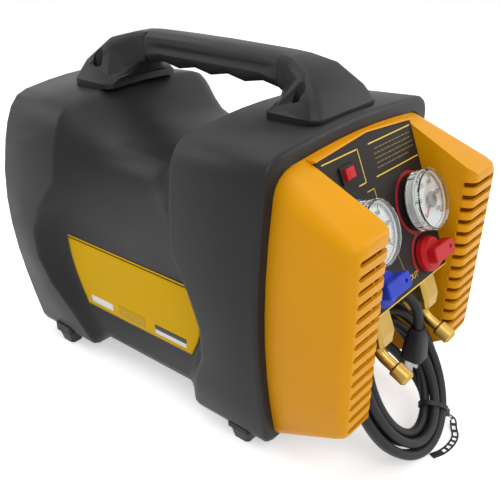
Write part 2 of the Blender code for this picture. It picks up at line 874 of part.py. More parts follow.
def build_knob(prefix, x, finish):
    bore = STEM_RADIUS + SEAT_GAP
    ceiling = KNOB_BASE - KNOB_CLEARANCE
    knob = revolve(
        f"{prefix}_valve_knob",
        (
            (0, ceiling),
            (bore, ceiling),
            (bore, KNOB_CLEARANCE),
            (KNOB_RADIUS, KNOB_CLEARANCE),
            (KNOB_RADIUS, KNOB_BASE * 0.6),
            (KNOB_RADIUS * 0.86, KNOB_BASE),
            (0, KNOB_BASE),
        ),
        finish,
    )
    edge = KNOB_BAR_WIDTH / 8
    length = KNOB_BAR_REACH + KNOB_BAR_TAIL
    shift = KNOB_BAR_REACH - length / 2
    wide = rounded_box(length, KNOB_BAR_WIDTH, edge * 2, 2)
    narrow = rounded_box(length - edge, KNOB_BAR_WIDTH - edge, edge * 1.5, 2)
    levels = ((wide, KNOB_BASE - KNOB_CLEARANCE / 2), (wide, KNOB_FRONT - edge / 2), (narrow, KNOB_FRONT))
    bar = loft("bar", [[(px + shift, py, level) for px, py in outline] for outline, level in levels], finish)
    fuse(knob, bar)
    dimple = circle(DIMPLE_RADIUS, 8, (KNOB_BAR_REACH * 0.66, 0))
    cut(knob, prism("dimple", dimple, KNOB_FRONT - DIMPLE_RADIUS, KNOB_FRONT + DIMPLE_RADIUS, finish))
    on_panel(knob, x, KNOB_DOWN)
    root = -PANEL_THICK - BORE_DEPTH
    end = ceiling - SEAT_GAP
    stem = revolve(
        f"{prefix}_valve_stem",
        ((0, root), (STEM_RADIUS, root), (STEM_RADIUS, end), (0, end)),
        "steel",
        16,
    )
    on_panel(stem, x, KNOB_DOWN)


def build_switch():
    outline = rounded_box(SWITCH_WIDTH, SWITCH_HEIGHT, SWITCH_ROUND, 2)
    housing = prism("power_switch_housing", outline, SEAT_GAP, SWITCH_FLANGE, "panel_black")
    body = rounded_box(*SWITCH_BODY, SWITCH_ROUND / 2, 1)
    fuse(housing, prism("body", body, -SWITCH_DEPTH, SWITCH_FLANGE / 2, "panel_black"))
    reach = SWITCH_BODY[0] / 2 - SWITCH_WALL
    across = SWITCH_BODY[1] / 2 - SWITCH_WALL
    hollow = block("pocket", (-reach, -across, -SWITCH_DEPTH / 2), (reach, across, SWITCH_DEPTH), "panel_black")
    cut(housing, hollow)
    on_panel(housing, SWITCH_X, SWITCH_DOWN)
    half = reach - SWITCH_WALL
    low, shoulder, tip = ROCKER_LEVELS
    side = [
        (-half * 0.75, low),
        (half * 0.75, low),
        (half, shoulder),
        (half, tip),
        (0, lerp(shoulder, tip, 0.6)),
        (-half, tip),
        (-half, shoulder),
    ]
    inner = across - SEAT_GAP
    rocker = loft("power_switch_rocker", [[(x, y, z) for x, z in side] for y in (inner, -inner)], "knob_red")
    on_panel(rocker, SWITCH_X, SWITCH_DOWN, ROCKER_AXIS)
    rocker.rotation_euler = turned(PANEL_TURN, ROCKER_TILT, "Y")


def build_port(prefix, side):
    """A brass valve block behind the panel, with its elbow and cap below the panel's edge."""
    x = side * KNOB_X
    front = -PANEL_THICK - SEAT_GAP
    middle = front - BLOCK_DEPTH / 2
    levels = (
        (BLOCK_TOP_DOWN, BLOCK_WIDTH),
        (BLOCK_END_DOWN - BLOCK_FOOT, BLOCK_WIDTH),
        (BLOCK_END_DOWN, BLOCK_FOOT_WIDTH),
    )
    loops = []
    for down, width in levels:
        depth = BLOCK_DEPTH * width / BLOCK_WIDTH
        outline = rounded_box(width, depth, BLOCK_ROUND, 1)
        loops.append([(px, -down, middle + pz) for px, pz in outline])
    port = loft(f"{prefix}_valve_block", loops, "brass")
    on_panel(port, x, 0)
    for across, down, radius in (
        (GAUGE_X - KNOB_X, GAUGE_DOWN, GAUGE_STEM_RADIUS),
        (0, KNOB_DOWN, STEM_RADIUS),
    ):
        hole = circle(radius + SEAT_GAP, 20, (side * across, -down))
        bore = prism("bore", hole, front - BORE_DEPTH, front + BORE_DEPTH, "brass")
        cut(port, on_panel(bore, x, 0))
    start = panel_point(x, -BLOCK_END_DOWN - SEAT_GAP, middle)
    along = (panel_point(x, -BLOCK_END_DOWN - ELBOW_DROP, middle) - start).normalized()
    forward = Vector((0, -math.cos(CAP_DIP), -math.sin(CAP_DIP)))
    corner = start + along * ELBOW_DROP
    end = corner + forward * ELBOW_REACH
    route = [start, start + along * ELBOW_DROP * 0.5, corner + (forward - along) * ELBOW_DROP / 6]
    route += [corner + forward * ELBOW_DROP * 0.6, end]
    tube(f"{prefix}_port_elbow", route, FITTING_RADIUS, "brass", 3)
    edge = CAP_RADIUS / 6
    cap = revolve(
        f"{prefix}_port_cap",
        (
            (0, 0),
            (CAP_RADIUS - edge, 0),
            (CAP_RADIUS, edge),
            (CAP_RADIUS, CAP_LENGTH - edge * 2),
            (CAP_RADIUS - edge * 2, CAP_LENGTH),
            (0, CAP_LENGTH),
        ),
        "brass",
        20,
    )
    place(cap, end + forward * SEAT_GAP, (math.pi / 2 + CAP_DIP, 0, 0))
    return port


# The recess below the panel and the cord's strain relief
def recess_front(z):
    return rim_y(z) + BEZEL_DEPTH + SEAT_GAP


def build_recess_plate():
    half = RIM_INNER - SEAT_GAP
    low = rim_outline()[0][1] + SEAT_GAP
    loops = [
        [(-half, recess_front(z) + back, z), (half, recess_front(z) + back, z)][:: 1 if back == 0 else -1]
        for z in (low, RECESS_TOP)
        for back in (0.0, PLATE_THICK)
    ]
    loops = [loops[0] + loops[1], loops[2] + loops[3]]
    plate = loft("recess_plate", loops, "panel_black")
    hole = prism("hole", circle(RELIEF_RADIUS + SEAT_GAP, 20), -PLATE_THICK * 3, PLATE_THICK * 3, "panel_black")
    cut(plate, place(hole, (0, recess_front(RELIEF_Z), RELIEF_Z), TOWARDS_FRONT))
    slack = RIM_SLOPE * RELIEF_FLANGE + SEAT_GAP
    relief = revolve(
        "strain_relief",
        (
            (0, -PLATE_THICK - slack - RELIEF_FLANGE_THICK),
            (RELIEF_FLANGE, -PLATE_THICK - slack - RELIEF_FLANGE_THICK),
            (RELIEF_FLANGE, -PLATE_THICK - slack),
            (RELIEF_RADIUS, -PLATE_THICK - slack),
            (RELIEF_RADIUS, slack),
            (RELIEF_FLANGE, slack),
            (RELIEF_FLANGE, slack + RELIEF_FLANGE_THICK),
            (RELIEF_RADIUS + SEAT_GAP, slack + RELIEF_FLANGE_THICK),
            (CORD_RADIUS + SEAT_GAP * 2, RELIEF_LENGTH),
            (0, RELIEF_LENGTH),
        ),
        "rubber_black",
        12,
    )
    place(relief, (0, recess_front(RELIEF_Z), RELIEF_Z), TOWARDS_FRONT)


# The rear cover
def build_rear_cover():
    outline = full_loop(collar_half(REAR_Y, REAR_LIP + SEAT_GAP))
    back = REAR_Y - SEAT_GAP
    loops = [[(x, y, z) for x, z in outline] for y in (back - PLATE_THICK, back)]
    cover = loft("rear_cover", loops, "case_black")
    slots = []
    rows = int(GRILLE_RADIUS / GRILLE_PITCH)
    span = (back + GRILLE_SLOT, back - GRILLE_SLOT)
    for row in range(-rows, rows + 1):
        z = row * GRILLE_PITCH
        chord = math.sqrt(GRILLE_RADIUS**2 - z**2)
        for side in (1, -1):
            ends = sorted((side * GRILLE_SPINE, side * chord))
            middle = (ends[0] + ends[1]) / 2
            shape = rounded_box(ends[1] - ends[0], GRILLE_SLOT, GRILLE_SLOT / 3, 1)
            loops = [[(middle + x, y, SHAFT_Z + z + up) for x, up in shape] for y in span]
            slots.append(loft("slot", loops, "case_black"))
    cut(cover, joined("slots", slots))
    return cover


# The handle
def collar_cutter(y_low, y_high):
    """The outside of the collar with a seat gap, to shape what sits on it."""
    loops = [[(x, y, z) for x, z in full_loop(collar_half(y, -SEAT_GAP))] for y in (y_low, y_high)]
    return loft("collar", loops, "case_black")


def build_grip():
    loops = []
    length = GRIP_REAR_Y - GRIP_FRONT_Y
    steps = FINGER_COUNT * 4
    for i in range(steps + 1):
        y = lerp(GRIP_FRONT_Y + SEAT_GAP, GRIP_REAR_Y - SEAT_GAP, i / steps)
        wave = FINGER_DEPTH * (0.5 - 0.5 * math.cos(math.tau * i / 4))
        crown = GRIP_CROWN * math.sin(math.pi * i / steps)
        low = GRIP_TOP - GRIP_HEIGHT + wave
        high = GRIP_TOP + crown
        half = GRIP_WIDTH / 2
        groove = GRIP_GROOVE * smooth(math.sin(math.pi * i / steps) * 3)
        edge = GRIP_HEIGHT / 4
        middle = GRIP_TOP - GRIP_HEIGHT / 2
        right = [
            (half * 0.6, low),
            (half, low + edge),
            (half, middle - edge * 0.3),
            (half - groove, middle),
            (half - groove, middle + edge * 0.5),
            (half, middle + edge * 0.8),
            (half * 0.94, high - edge * 0.5),
            (half * 0.6, high),
        ]
        outline = right + [(-x, z) for x, z in right[::-1]]
        loops.append([(x, y, z) for x, z in outline])
    return loft("handle_grip", loops, "rubber_black")


def build_mount(name, span, grip_y, base_low):
    """A bracket that sweeps from its wide foot on the collar up to one end of the grip."""
    front = grip_y < (span[0] + span[1]) / 2
    foot_y = (span[0] + span[1]) / 2
    foot_z = base_low - MOUNT_FLANGE
    half_depth = (span[1] - span[0]) / 2
    top = GRIP_TOP - GRIP_HEIGHT / 2
    way = -1 if front else 1
    wide = MOUNT_HALF_WIDTH
    deep = half_depth
    stations = (
        ((foot_y, foot_z), wide, deep, 0.0),
        ((foot_y, base_low + MOUNT_FLANGE), wide, deep, 0.0),
        ((lerp(foot_y, grip_y, 0.12), lerp(base_low, top, 0.40)), wide * 0.84, deep * 0.88, 0.16),
        ((lerp(foot_y, grip_y, 0.42), lerp(base_low, top, 0.74)), wide * 0.56, deep * 0.74, 0.52),
        ((lerp(foot_y, grip_y, 0.74), lerp(base_low, top, 0.94)), GRIP_WIDTH * 0.54, GRIP_HEIGHT * 0.54, 0.86),
        ((grip_y, top), GRIP_WIDTH / 2, GRIP_HEIGHT / 2, 1.0),
    )
    loops = []
    for centre, half_x, half_z, turn in stations:
        angle = turn * math.pi / 2
        along = Vector((0, -way * math.cos(angle), math.sin(angle)))
        outline = rounded_box(half_x * 2, half_z * 2, min(half_x, half_z) * 0.45, 3)
        loops.append([Vector((x, centre[0], centre[1])) + along * up for x, up in outline])
    mount = loft(name, loops, "case_black")
    cut(mount, collar_cutter(span[0] - MOUNT_HALF_WIDTH, span[1] + MOUNT_HALF_WIDTH))
    return mount


def screw_seat(y):
    """The height of a handle screw's head above the collar's top."""
    return crown_z(collar_half(y), SCREW_X) + SCREW_SEAT


def build_handle(case):
    build_grip()
    for name, span, grip_y in (
        ("front", FRONT_MOUNT_Y, GRIP_FRONT_Y),
        ("rear", REAR_MOUNT_Y, GRIP_REAR_Y),
    ):
        middle = (span[0] + span[1]) / 2
        crown = collar_half(middle)[-1][1]
        mount = build_mount(f"handle_mount_{name}", span, grip_y, crown)
        seat = screw_seat(middle)
        for side, word in ((-1, "left"), (1, "right")):
            x = side * SCREW_X
            bore = prism("bore", circle(SCREW_HEAD_RADIUS + SEAT_GAP, 16), 0, GRIP_TOP - seat, "case_black")
            cut(mount, place(bore, (x, middle, seat)))
            for target in (mount, case):
                shank = circle(SCREW_SHANK_RADIUS + SEAT_GAP, 12)
                hole = prism("hole", shank, -SCREW_LENGTH, SCREW_HEAD, "case_black")
                cut(target, place(hole, (x, middle, seat)))
            screw = revolve(
                f"handle_screw_{name}_{word}",
                (
                    (0, -SCREW_LENGTH * 0.8),
                    (SCREW_SHANK_RADIUS, -SCREW_LENGTH * 0.8),
                    (SCREW_SHANK_RADIUS, SEAT_GAP),
                    (SCREW_HEAD_RADIUS, SEAT_GAP),
                    (SCREW_HEAD_RADIUS, SCREW_HEAD * 0.7),
                    (SCREW_HEAD_RADIUS * 0.7, SCREW_HEAD),
                    (0, SCREW_HEAD),
                ),
                "steel",
                10,
            )
            place(screw, (x, middle, seat))


def build_feet():
    """Four tapered rubber blocks whose tops follow the underside of the collars."""
    for end, y in (("front", FRONT_FOOT_Y), ("rear", REAR_FOOT_Y)):
        for word, side in (("left", -1), ("right", 1)):
            top = FOOT_HEIGHT - FOOT_FLANGE
            levels = (
                (0.0, FOOT_TAPER),
                (top, 0.0),
                (top, -FOOT_FLANGE),
                (FOOT_HEIGHT * 1.6, -FOOT_FLANGE),
            )
            loops = []
            for z, shrink in levels:
                outline = rounded_box(FOOT_WIDTH - shrink * 2, FOOT_LENGTH - shrink * 2, FOOT_TAPER, 1)
                loops.append([(side * FOOT_X + x, y + dy, z) for x, dy in outline])
            foot = loft(f"foot_{end}_{word}", loops, "rubber_black")
            cut(foot, collar_cutter(y - FOOT_LENGTH, y + FOOT_LENGTH))


# Inside the case
def waist_floor():
    """The height of the inside of the waist's floor."""
    return WAIST_SECTION[2] + WALL


def plate_top():
    return waist_floor() + SEAT_GAP + PLATE_THICK


def build_base():
    """The plate that the motor, the compressor and the condenser stand on, with two folded lips."""
    low = waist_floor() + SEAT_GAP
    inner = BASE_HALF - PLATE_THICK
    outline = [
        (-BASE_HALF, low),
        (BASE_HALF, low),
        (BASE_HALF, low + BASE_LIP),
        (inner, low + BASE_LIP),
        (inner, low + PLATE_THICK),
        (-inner, low + PLATE_THICK),
        (-inner, low + BASE_LIP),
        (-BASE_HALF, low + BASE_LIP),
    ]
    loft("base_plate", [[(x, y, z) for x, z in outline] for y in BASE_Y], "steel")


def build_motor():
    bore = SHAFT_RADIUS + SEAT_GAP
    length = MOTOR_REAR_Y - MOTOR_FRONT_Y - SEAT_GAP
    edge = MOTOR_RADIUS * 0.12
    motor = revolve(
        "motor",
        (
            (0, 0),
            (MOTOR_RADIUS - edge, 0),
            (MOTOR_RADIUS, edge),
            (MOTOR_RADIUS, length - edge * 2),
            (MOTOR_RADIUS * 0.9, length - edge),
            (MOTOR_RADIUS * 0.4, length - edge * 0.6),
            (MOTOR_RADIUS * 0.36, length),
            (bore, length),
            (bore, length / 2),
            (0, length / 2),
        ),
        "motor_grey",
        20,
    )
    place(motor, (0, MOTOR_FRONT_Y + SEAT_GAP, SHAFT_Z), ALONG_Y)
    start = MOTOR_FRONT_Y + SEAT_GAP * 2 + length / 2
    end = FAN_Y + FAN_DEPTH / 2 + SHAFT_RADIUS
    shaft_length = end - start
    shaft = revolve(
        "motor_shaft",
        ((0, 0), (SHAFT_RADIUS, 0), (SHAFT_RADIUS, shaft_length), (0, shaft_length)),
        "steel",
        16,
    )
    place(shaft, (0, start, SHAFT_Z), ALONG_Y)
    low = plate_top() + SEAT_GAP
    high = SHAFT_Z - MOTOR_RADIUS * 0.5
    cradle = block(
        "motor_cradle",
        (-CRADLE_HALF, lerp(MOTOR_FRONT_Y, MOTOR_REAR_Y, 0.25), low),
        (CRADLE_HALF, lerp(MOTOR_FRONT_Y, MOTOR_REAR_Y, 0.65), high),
        "steel",
    )
    seat = prism("seat", circle(MOTOR_RADIUS + SEAT_GAP * 2, 56), 0, length, "steel")
    cut(cradle, place(seat, (0, MOTOR_FRONT_Y, SHAFT_Z), ALONG_Y))
    waist = block(
        "waist",
        (-CRADLE_HALF + PLATE_THICK * 2, MOTOR_FRONT_Y, low + PLATE_THICK),
        (CRADLE_HALF - PLATE_THICK * 2, MOTOR_REAR_Y, SHAFT_Z - MOTOR_RADIUS - PLATE_THICK * 2),
        "steel",
    )
    cut(cradle, waist)


def blade_section(t):
    """The diamond outline of a fan blade at this share of its reach, wrapped round the shaft."""
    radius = lerp(SHAFT_RADIUS * 2, FAN_RADIUS, t)
    chord, thick, pitch = mix(FAN_ROOT, FAN_TIP, t)
    section = []
    for along, across in ((-chord / 2, 0), (0, thick / 2), (chord / 2, 0), (0, -thick / 2)):
        arc = (along * math.cos(pitch) - across * math.sin(pitch)) / radius
        z = along * math.sin(pitch) + across * math.cos(pitch)
        section.append((radius * math.cos(arc), radius * math.sin(arc), z * FAN_FLATTEN))
    return section


def fan_blade():
    """A twisted blade of triangles, split the same way on both sides so that they stay apart."""
    count = FAN_STATIONS
    points = [p for i in range(count) for p in blade_section(i / (count - 1))]
    faces = []
    for low in range(0, 4 * (count - 1), 4):
        for edge, middle in ((0, 1), (0, 3), (2, 1), (2, 3)):
            faces.append((low + edge, low + middle, low + 4 + middle))
            faces.append((low + edge, low + 4 + middle, low + 4 + edge))
    for low in (0, 4 * (count - 1)):
        faces += [(low, low + 1, low + 3), (low + 1, low + 2, low + 3)]
    return add_object("blade", points, faces, "case_black")


def build_fan():
    bore = SHAFT_RADIUS + SEAT_GAP
    hub = SHAFT_RADIUS * 3
    half = FAN_DEPTH / 2
    fan = revolve(
        "cooling_fan",
        ((bore, -half), (hub, -half), (hub, half * 0.6), (hub * 0.8, half), (bore, half)),
        "case_black",
        FAN_BLADES * 3,
        closed=True,
    )
    for i in range(FAN_BLADES):
        fuse(fan, place(fan_blade(), (0, 0, 0), (0, 0, math.tau * (i + 1 / 6) / FAN_BLADES)))
    place(fan, (0, FAN_Y, SHAFT_Z), ALONG_Y)


def build_compressor():
    """A crankcase on a foot, with two opposed finned cylinders."""
    low = plate_top() + SEAT_GAP
    length = MOTOR_FRONT_Y - CRANKCASE_FRONT_Y
    outline = rounded_box(CRANKCASE_HALF * 2, CRANKCASE_HALF * 2, CRANKCASE_HALF / 3, 3)
    crankcase = prism("crankcase", outline, 0, length, "aluminium")
    place(crankcase, (0, CRANKCASE_FRONT_Y, SHAFT_Z), ALONG_Y)
    foot = block(
        "foot",
        (-CRANKCASE_HALF * 0.8, CRANKCASE_FRONT_Y + length * 0.1, low),
        (CRANKCASE_HALF * 0.8, CRANKCASE_FRONT_Y + length * 0.9, SHAFT_Z - CRANKCASE_HALF * 0.9),
        "aluminium",
    )
    fuse(crankcase, foot)
    reach = HEAD_REACH - CRANKCASE_HALF - SEAT_GAP
    fin = reach * 0.66 / (HEAD_FINS * 2)
    for word, side in (("left", -1), ("right", 1)):
        profile = [(0, 0)]
        for i in range(HEAD_FINS):
            start = i * 2 * fin
            profile += [
                (HEAD_RADIUS - FIN_DEPTH, start),
                (HEAD_RADIUS - FIN_DEPTH, start + fin),
                (HEAD_RADIUS, start + fin),
                (HEAD_RADIUS, start + fin * 2),
            ]
        cover = HEAD_RADIUS * 0.95
        profile += [(cover, reach * 0.7), (cover, reach * 0.95), (HEAD_RADIUS * 0.85, reach), (0, reach)]
        head = revolve(f"cylinder_head_{word}", profile, "aluminium", 12)
        turn = (0, side * math.pi / 2, 0)
        place(head, (side * (CRANKCASE_HALF + SEAT_GAP), CRANKCASE_FRONT_Y + length / 2, SHAFT_Z), turn)


def build_condenser():
    front, back = CONDENSER_Y
    pitch = CONDENSER_HALF * 2 / CONDENSER_FINS
    depth = (back - front) * 0.3
    near = []
    far = []
    for i in range(CONDENSER_FINS):
        x = -CONDENSER_HALF + i * pitch
        near += [(x, front), (x + pitch * 0.35, front)]
        far += [(x, back), (x + pitch * 0.35, back)]
        if i < CONDENSER_FINS - 1:
            near += [(x + pitch * 0.35, front + depth), (x + pitch, front + depth)]
            far += [(x + pitch * 0.35, back - depth), (x + pitch, back - depth)]
    low = plate_top() + SEAT_GAP
    prism("condenser_core", near + far[::-1], low, CONDENSER_TOP, "aluminium")
    last = -CONDENSER_HALF + (CONDENSER_FINS - 1 + 0.35) * pitch
    middle = (front + back) / 2
    beside = HEADER_RADIUS + SEAT_GAP
    for word, x in (("left", -CONDENSER_HALF - beside), ("right", last + beside)):
        header = revolve(
            f"condenser_header_{word}",
            (
                (0, low + BASE_LIP),
                (HEADER_RADIUS, low + BASE_LIP),
                (HEADER_RADIUS, CONDENSER_TOP),
                (HEADER_RADIUS / 2, CONDENSER_TOP + HEADER_RADIUS / 2),
                (0, CONDENSER_TOP + HEADER_RADIUS / 2),
            ),
            "copper",
            12,
        )
        place(header, (x, middle, 0))
    return -CONDENSER_HALF - beside, last + beside


def build_lines(left_header, right_header):
    """The copper refrigerant lines between the valve blocks, the compressor and the condenser."""
    head_x = HEAD_REACH - (HEAD_REACH - CRANKCASE_HALF) * 0.18
    head_y = (CRANKCASE_FRONT_Y + MOTOR_FRONT_Y) / 2
    head_top = SHAFT_Z + HEAD_RADIUS * 0.95 + SEAT_GAP
    header_y = sum(CONDENSER_Y) / 2
    header_top = CONDENSER_TOP + HEADER_RADIUS / 2 + SEAT_GAP
    port_out = -PANEL_THICK - SEAT_GAP * 2 - BLOCK_DEPTH
    port_down = BLOCK_TOP_DOWN + LINE_RADIUS * 4
    inlet = panel_point(-KNOB_X, -port_down, port_out)
    outlet = panel_point(KNOB_X, -port_down, port_out)
    lead = LINE_LEAD
    into_case = (panel_point(0, 0, -lead) - panel_point(0, 0, 0)).normalized() * lead
    front = CONDENSER_Y[0]
    suction = [
        inlet,
        inlet + into_case,
        (-KNOB_X - lead / 2, front, LINE_HEIGHT - lead),
        (-head_x + lead, CRANKCASE_FRONT_Y - lead, LINE_HEIGHT - lead),
        (-head_x, head_y - lead / 2, LINE_HEIGHT - lead * 2),
        (-head_x, head_y, head_top + lead),
        (-head_x, head_y, head_top),
    ]
    side_y = head_y - HEAD_RADIUS * 0.4
    start_z = head_top + LINE_RADIUS * 0.6
    discharge = [
        (head_x, side_y, start_z),
        (head_x, side_y, start_z + lead),
        (head_x, head_y - HEAD_RADIUS, LINE_HEIGHT - lead * 1.7),
        (right_header, header_y + lead * 1.7, LINE_HEIGHT - lead * 1.7),
        (right_header, header_y, header_top + lead * 1.3),
        (right_header, header_y, header_top),
    ]
    condenser = [
        (left_header, header_y, header_top),
        (left_header, header_y, header_top + lead),
        (left_header + lead * 1.7, header_y - lead * 0.7, header_top + lead * 2.8),
        (0, front + lead / 2, LINE_HEIGHT - lead / 3),
        (KNOB_X - lead, front - lead * 0.6, LINE_HEIGHT + lead * 0.8),
        outlet + into_case,
        outlet,
    ]
    for name, route in (("suction", suction), ("discharge", discharge), ("condenser", condenser)):
        tube(f"{name}_line", route, LINE_RADIUS, "copper")


def build_electrics():
    low = plate_top() + SEAT_GAP
    y = (MOTOR_FRONT_Y + MOTOR_REAR_Y) / 2
    half = CAPACITOR_LENGTH / 2
    capacitor = revolve(
        "run_capacitor",
        (
            (0, -half),
            (CAPACITOR_RADIUS, -half),
            (CAPACITOR_RADIUS, half - LINE_RADIUS),
            (CAPACITOR_RADIUS - LINE_RADIUS / 2, half),
            (0, half),
        ),
        "aluminium",
        16,
    )
    x = CRADLE_HALF + CAPACITOR_GAP + CAPACITOR_RADIUS
    place(capacitor, (x, y, low + CAPACITOR_RADIUS), ALONG_Y)


# The cord
def coil_frame():
    side = Vector((1, 0, 0))
    up = Vector((0, math.sin(COIL_LEAN), math.cos(COIL_LEAN)))
    normal = Vector((0, -math.cos(COIL_LEAN), math.sin(COIL_LEAN)))
    return Vector(COIL_CENTRE), side, up, normal


def coil_section(turn, radial, axial, along=0.0):
    """A flat-sided loop round the bundle at one place of the coil."""
    centre, side, up, normal = coil_frame()
    outward = (side * math.cos(turn) * COIL_UP + up * math.sin(turn) * COIL_SIDE).normalized()
    tangent = normal.cross(outward)
    middle = centre + side * COIL_SIDE * math.cos(turn) + up * COIL_UP * math.sin(turn) + tangent * along
    stretch = 1 / math.cos(math.pi / 8)
    return [
        middle + outward * radial * stretch * math.cos(angle) + normal * axial * stretch * math.sin(angle)
        for angle in (math.pi / 8 + math.tau * i / 8 for i in range(8))
    ]


def build_coil():
    loops = [coil_section(math.tau * i / COIL_STEPS, COIL_RADIAL, COIL_AXIAL) for i in range(COIL_STEPS)]
    loft("cord_coil", loops, "rubber_black", closed=True)


def coil_middle(turn, out):
    """A point of the bundle's centre line, moved out of the coil's face."""
    centre, side, up, normal = coil_frame()
    return centre + side * COIL_SIDE * math.cos(turn) + up * COIL_UP * math.sin(turn) + normal * out


def build_cords():
    """The lead from the strain relief to the back of the coil, and the lead from its front to the plug."""
    face = COIL_AXIAL + SEAT_GAP
    exit_y = recess_front(RELIEF_Z) - RELIEF_LENGTH - SEAT_GAP
    route = [(0, exit_y, RELIEF_Z), (0, exit_y - CORD_LEAD, RELIEF_Z), *CORD_ROUTE]
    route += [coil_middle(CORD_TURN, -face - CORD_LEAD), coil_middle(CORD_TURN, -face)]
    tube("power_cord", route, CORD_RADIUS, "rubber_black")
    plug_top = Vector(PLUG_PLACE)
    route = [coil_middle(LEAD_TURN, face), coil_middle(LEAD_TURN, face + CORD_LEAD), *LEAD_ROUTE]
    route += [plug_top + Vector((0, 0, CORD_LEAD * 2)), plug_top + Vector((0, 0, SEAT_GAP))]
    tube("plug_lead", route, CORD_RADIUS, "rubber_black")


def build_plug():
    """A moulded plug that hangs from its lead, with three pins."""
    levels = (
        (0.0, CORD_RADIUS * 1.5, CORD_RADIUS * 1.5),
        (-PLUG_NECK, CORD_RADIUS * 1.9, CORD_RADIUS * 1.9),
        (-PLUG_NECK * 1.3, PLUG_HALF * 0.9, PLUG_HALF * 0.85),
        (-PLUG_LENGTH, PLUG_HALF, PLUG_HALF),
    )
    loops = []
    for z, half_x, half_y in levels:
        outline = rounded_box(half_x * 2, half_y * 2, half_x * 0.45, 2)
        loops.append([(x, y, z) for x, y in outline])
    plug = place(loft("power_plug", loops, "rubber_black"), PLUG_PLACE)
    for word, x in (("left", -PIN_SPREAD), ("right", PIN_SPREAD)):
        blade = block(
            "pin",
            (x - PIN_THICK / 2, -PIN_WIDTH / 2, -PLUG_LENGTH - PIN_LENGTH),
            (x + PIN_THICK / 2, PIN_WIDTH / 2, -PLUG_LENGTH + PIN_THICK),
            "brass",
        )
        fuse(plug, place(blade, PLUG_PLACE))
    pin = circle(PIN_THICK * 1.5, 10, (0, PIN_SPREAD))
    earth = prism("pin", pin, -PLUG_LENGTH - PIN_LENGTH * 1.1, -PLUG_LENGTH + PIN_THICK, "brass")
    fuse(plug, place(earth, PLUG_PLACE))


def build_tie():
    """The strap round the bundle, with its head and its long tail on the floor."""
    turn = math.tau * TIE_STEP / COIL_STEPS
    gap = SEAT_GAP * 2
    outer_gap = gap + TIE_THICK
    rings = []
    for along in (-TIE_WIDTH / 2, TIE_WIDTH / 2):
        inner = coil_section(turn, COIL_RADIAL + gap, COIL_AXIAL + gap, along)
        outer = coil_section(turn, COIL_RADIAL + outer_gap, COIL_AXIAL + outer_gap, along)
        rings.append((inner, outer))
    (inner_a, outer_a), (inner_b, outer_b) = rings
    loops = [[inner_a[i], outer_a[i], outer_b[i], inner_b[i]] for i in range(8)]
    loft("cable_tie", loops, "rubber_black", closed=True)


CORD_NODES = ("power_cord", "cord_coil", "plug_lead", "cable_tie", "power_plug")


def centre_machine():
    """Hangs every piece on one empty, which puts the machine's middle over the origin."""
    bpy.context.view_layer.update()
    pieces = list(bpy.data.objects)
    reach = [
        (piece.matrix_world @ vertex.co).y
        for piece in pieces
        if piece.type == "MESH" and piece.name not in CORD_NODES
        for vertex in piece.data.vertices
    ]
    machine = empty("machine", (0, -(min(reach) + max(reach)) / 2, 0))
    for piece in pieces:
        piece.parent = machine


def main():
    clear_scene()
    case = build_case()
    build_bezel()
    build_panel()
    for prefix, side, needle_finish, knob_finish in (
        ("inlet", -1, "knob_blue", "knob_blue"),
        ("outlet", 1, "knob_red", "knob_red"),
    ):
        build_gauge(prefix, side * GAUGE_X, needle_finish)
        build_knob(prefix, side * KNOB_X, knob_finish)
        build_port(prefix, side)
    build_switch()
    build_recess_plate()
    build_rear_cover()
    build_handle(case)
    build_feet()
    build_base()
    build_motor()
    build_fan()
    build_compressor()
    left_header, right_header = build_condenser()
    build_lines(left_header, right_header)
    build_electrics()
    build_coil()
    build_cords()
    build_plug()
    build_tie()
    centre_machine()


main()
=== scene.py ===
"""Looks of a refrigerant recovery machine: a charcoal moulded case, an orange louvred bezel, a printed
control panel with gauges and quarter-turn valves, brass ports, and a coiled power cord.

Units are metres, in the frame's own axes: the control panel faces -Y and Z is up from the floor.
"""

import json
import math

import bmesh
import bpy
from mathutils import Euler, Matrix, Vector
from mathutils.bvhtree import BVHTree


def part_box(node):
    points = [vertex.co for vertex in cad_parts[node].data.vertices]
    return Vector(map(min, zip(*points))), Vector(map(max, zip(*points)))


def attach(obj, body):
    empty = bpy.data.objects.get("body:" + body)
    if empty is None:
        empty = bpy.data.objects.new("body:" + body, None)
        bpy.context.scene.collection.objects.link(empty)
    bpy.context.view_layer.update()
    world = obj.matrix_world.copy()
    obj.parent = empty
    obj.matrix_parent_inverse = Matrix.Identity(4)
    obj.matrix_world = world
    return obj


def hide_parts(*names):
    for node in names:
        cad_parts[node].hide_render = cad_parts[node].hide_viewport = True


# Driving sizes that repeat those of the solids
REAR_Y = 0.2285
SEAT_GAP = 0.0003
PANEL_TOP_Y = -0.1559
PANEL_TOP_Z = 0.3022
PANEL_TILT = math.radians(23.7)
GAUGE_X = 0.046
GAUGE_DOWN = 0.071
KNOB_X = 0.043
KNOB_DOWN = 0.121
CORD_RADIUS = 0.0048
COIL_LEAN = math.radians(31)
PLUG_LENGTH = 0.034

# The camera, where the photograph was taken from
SENSOR_WIDTH = 36.0
FOCAL_LENGTH = 49.08
LENS_SHIFT = (0.0026, 0.0806)
NEAR_LIMIT = 0.01
CAMERA_PLACE = (-0.506, -0.44047, 0.48421)
CAMERA_PITCH = math.radians(59.89)
CAMERA_HEADING = math.radians(-50.58)

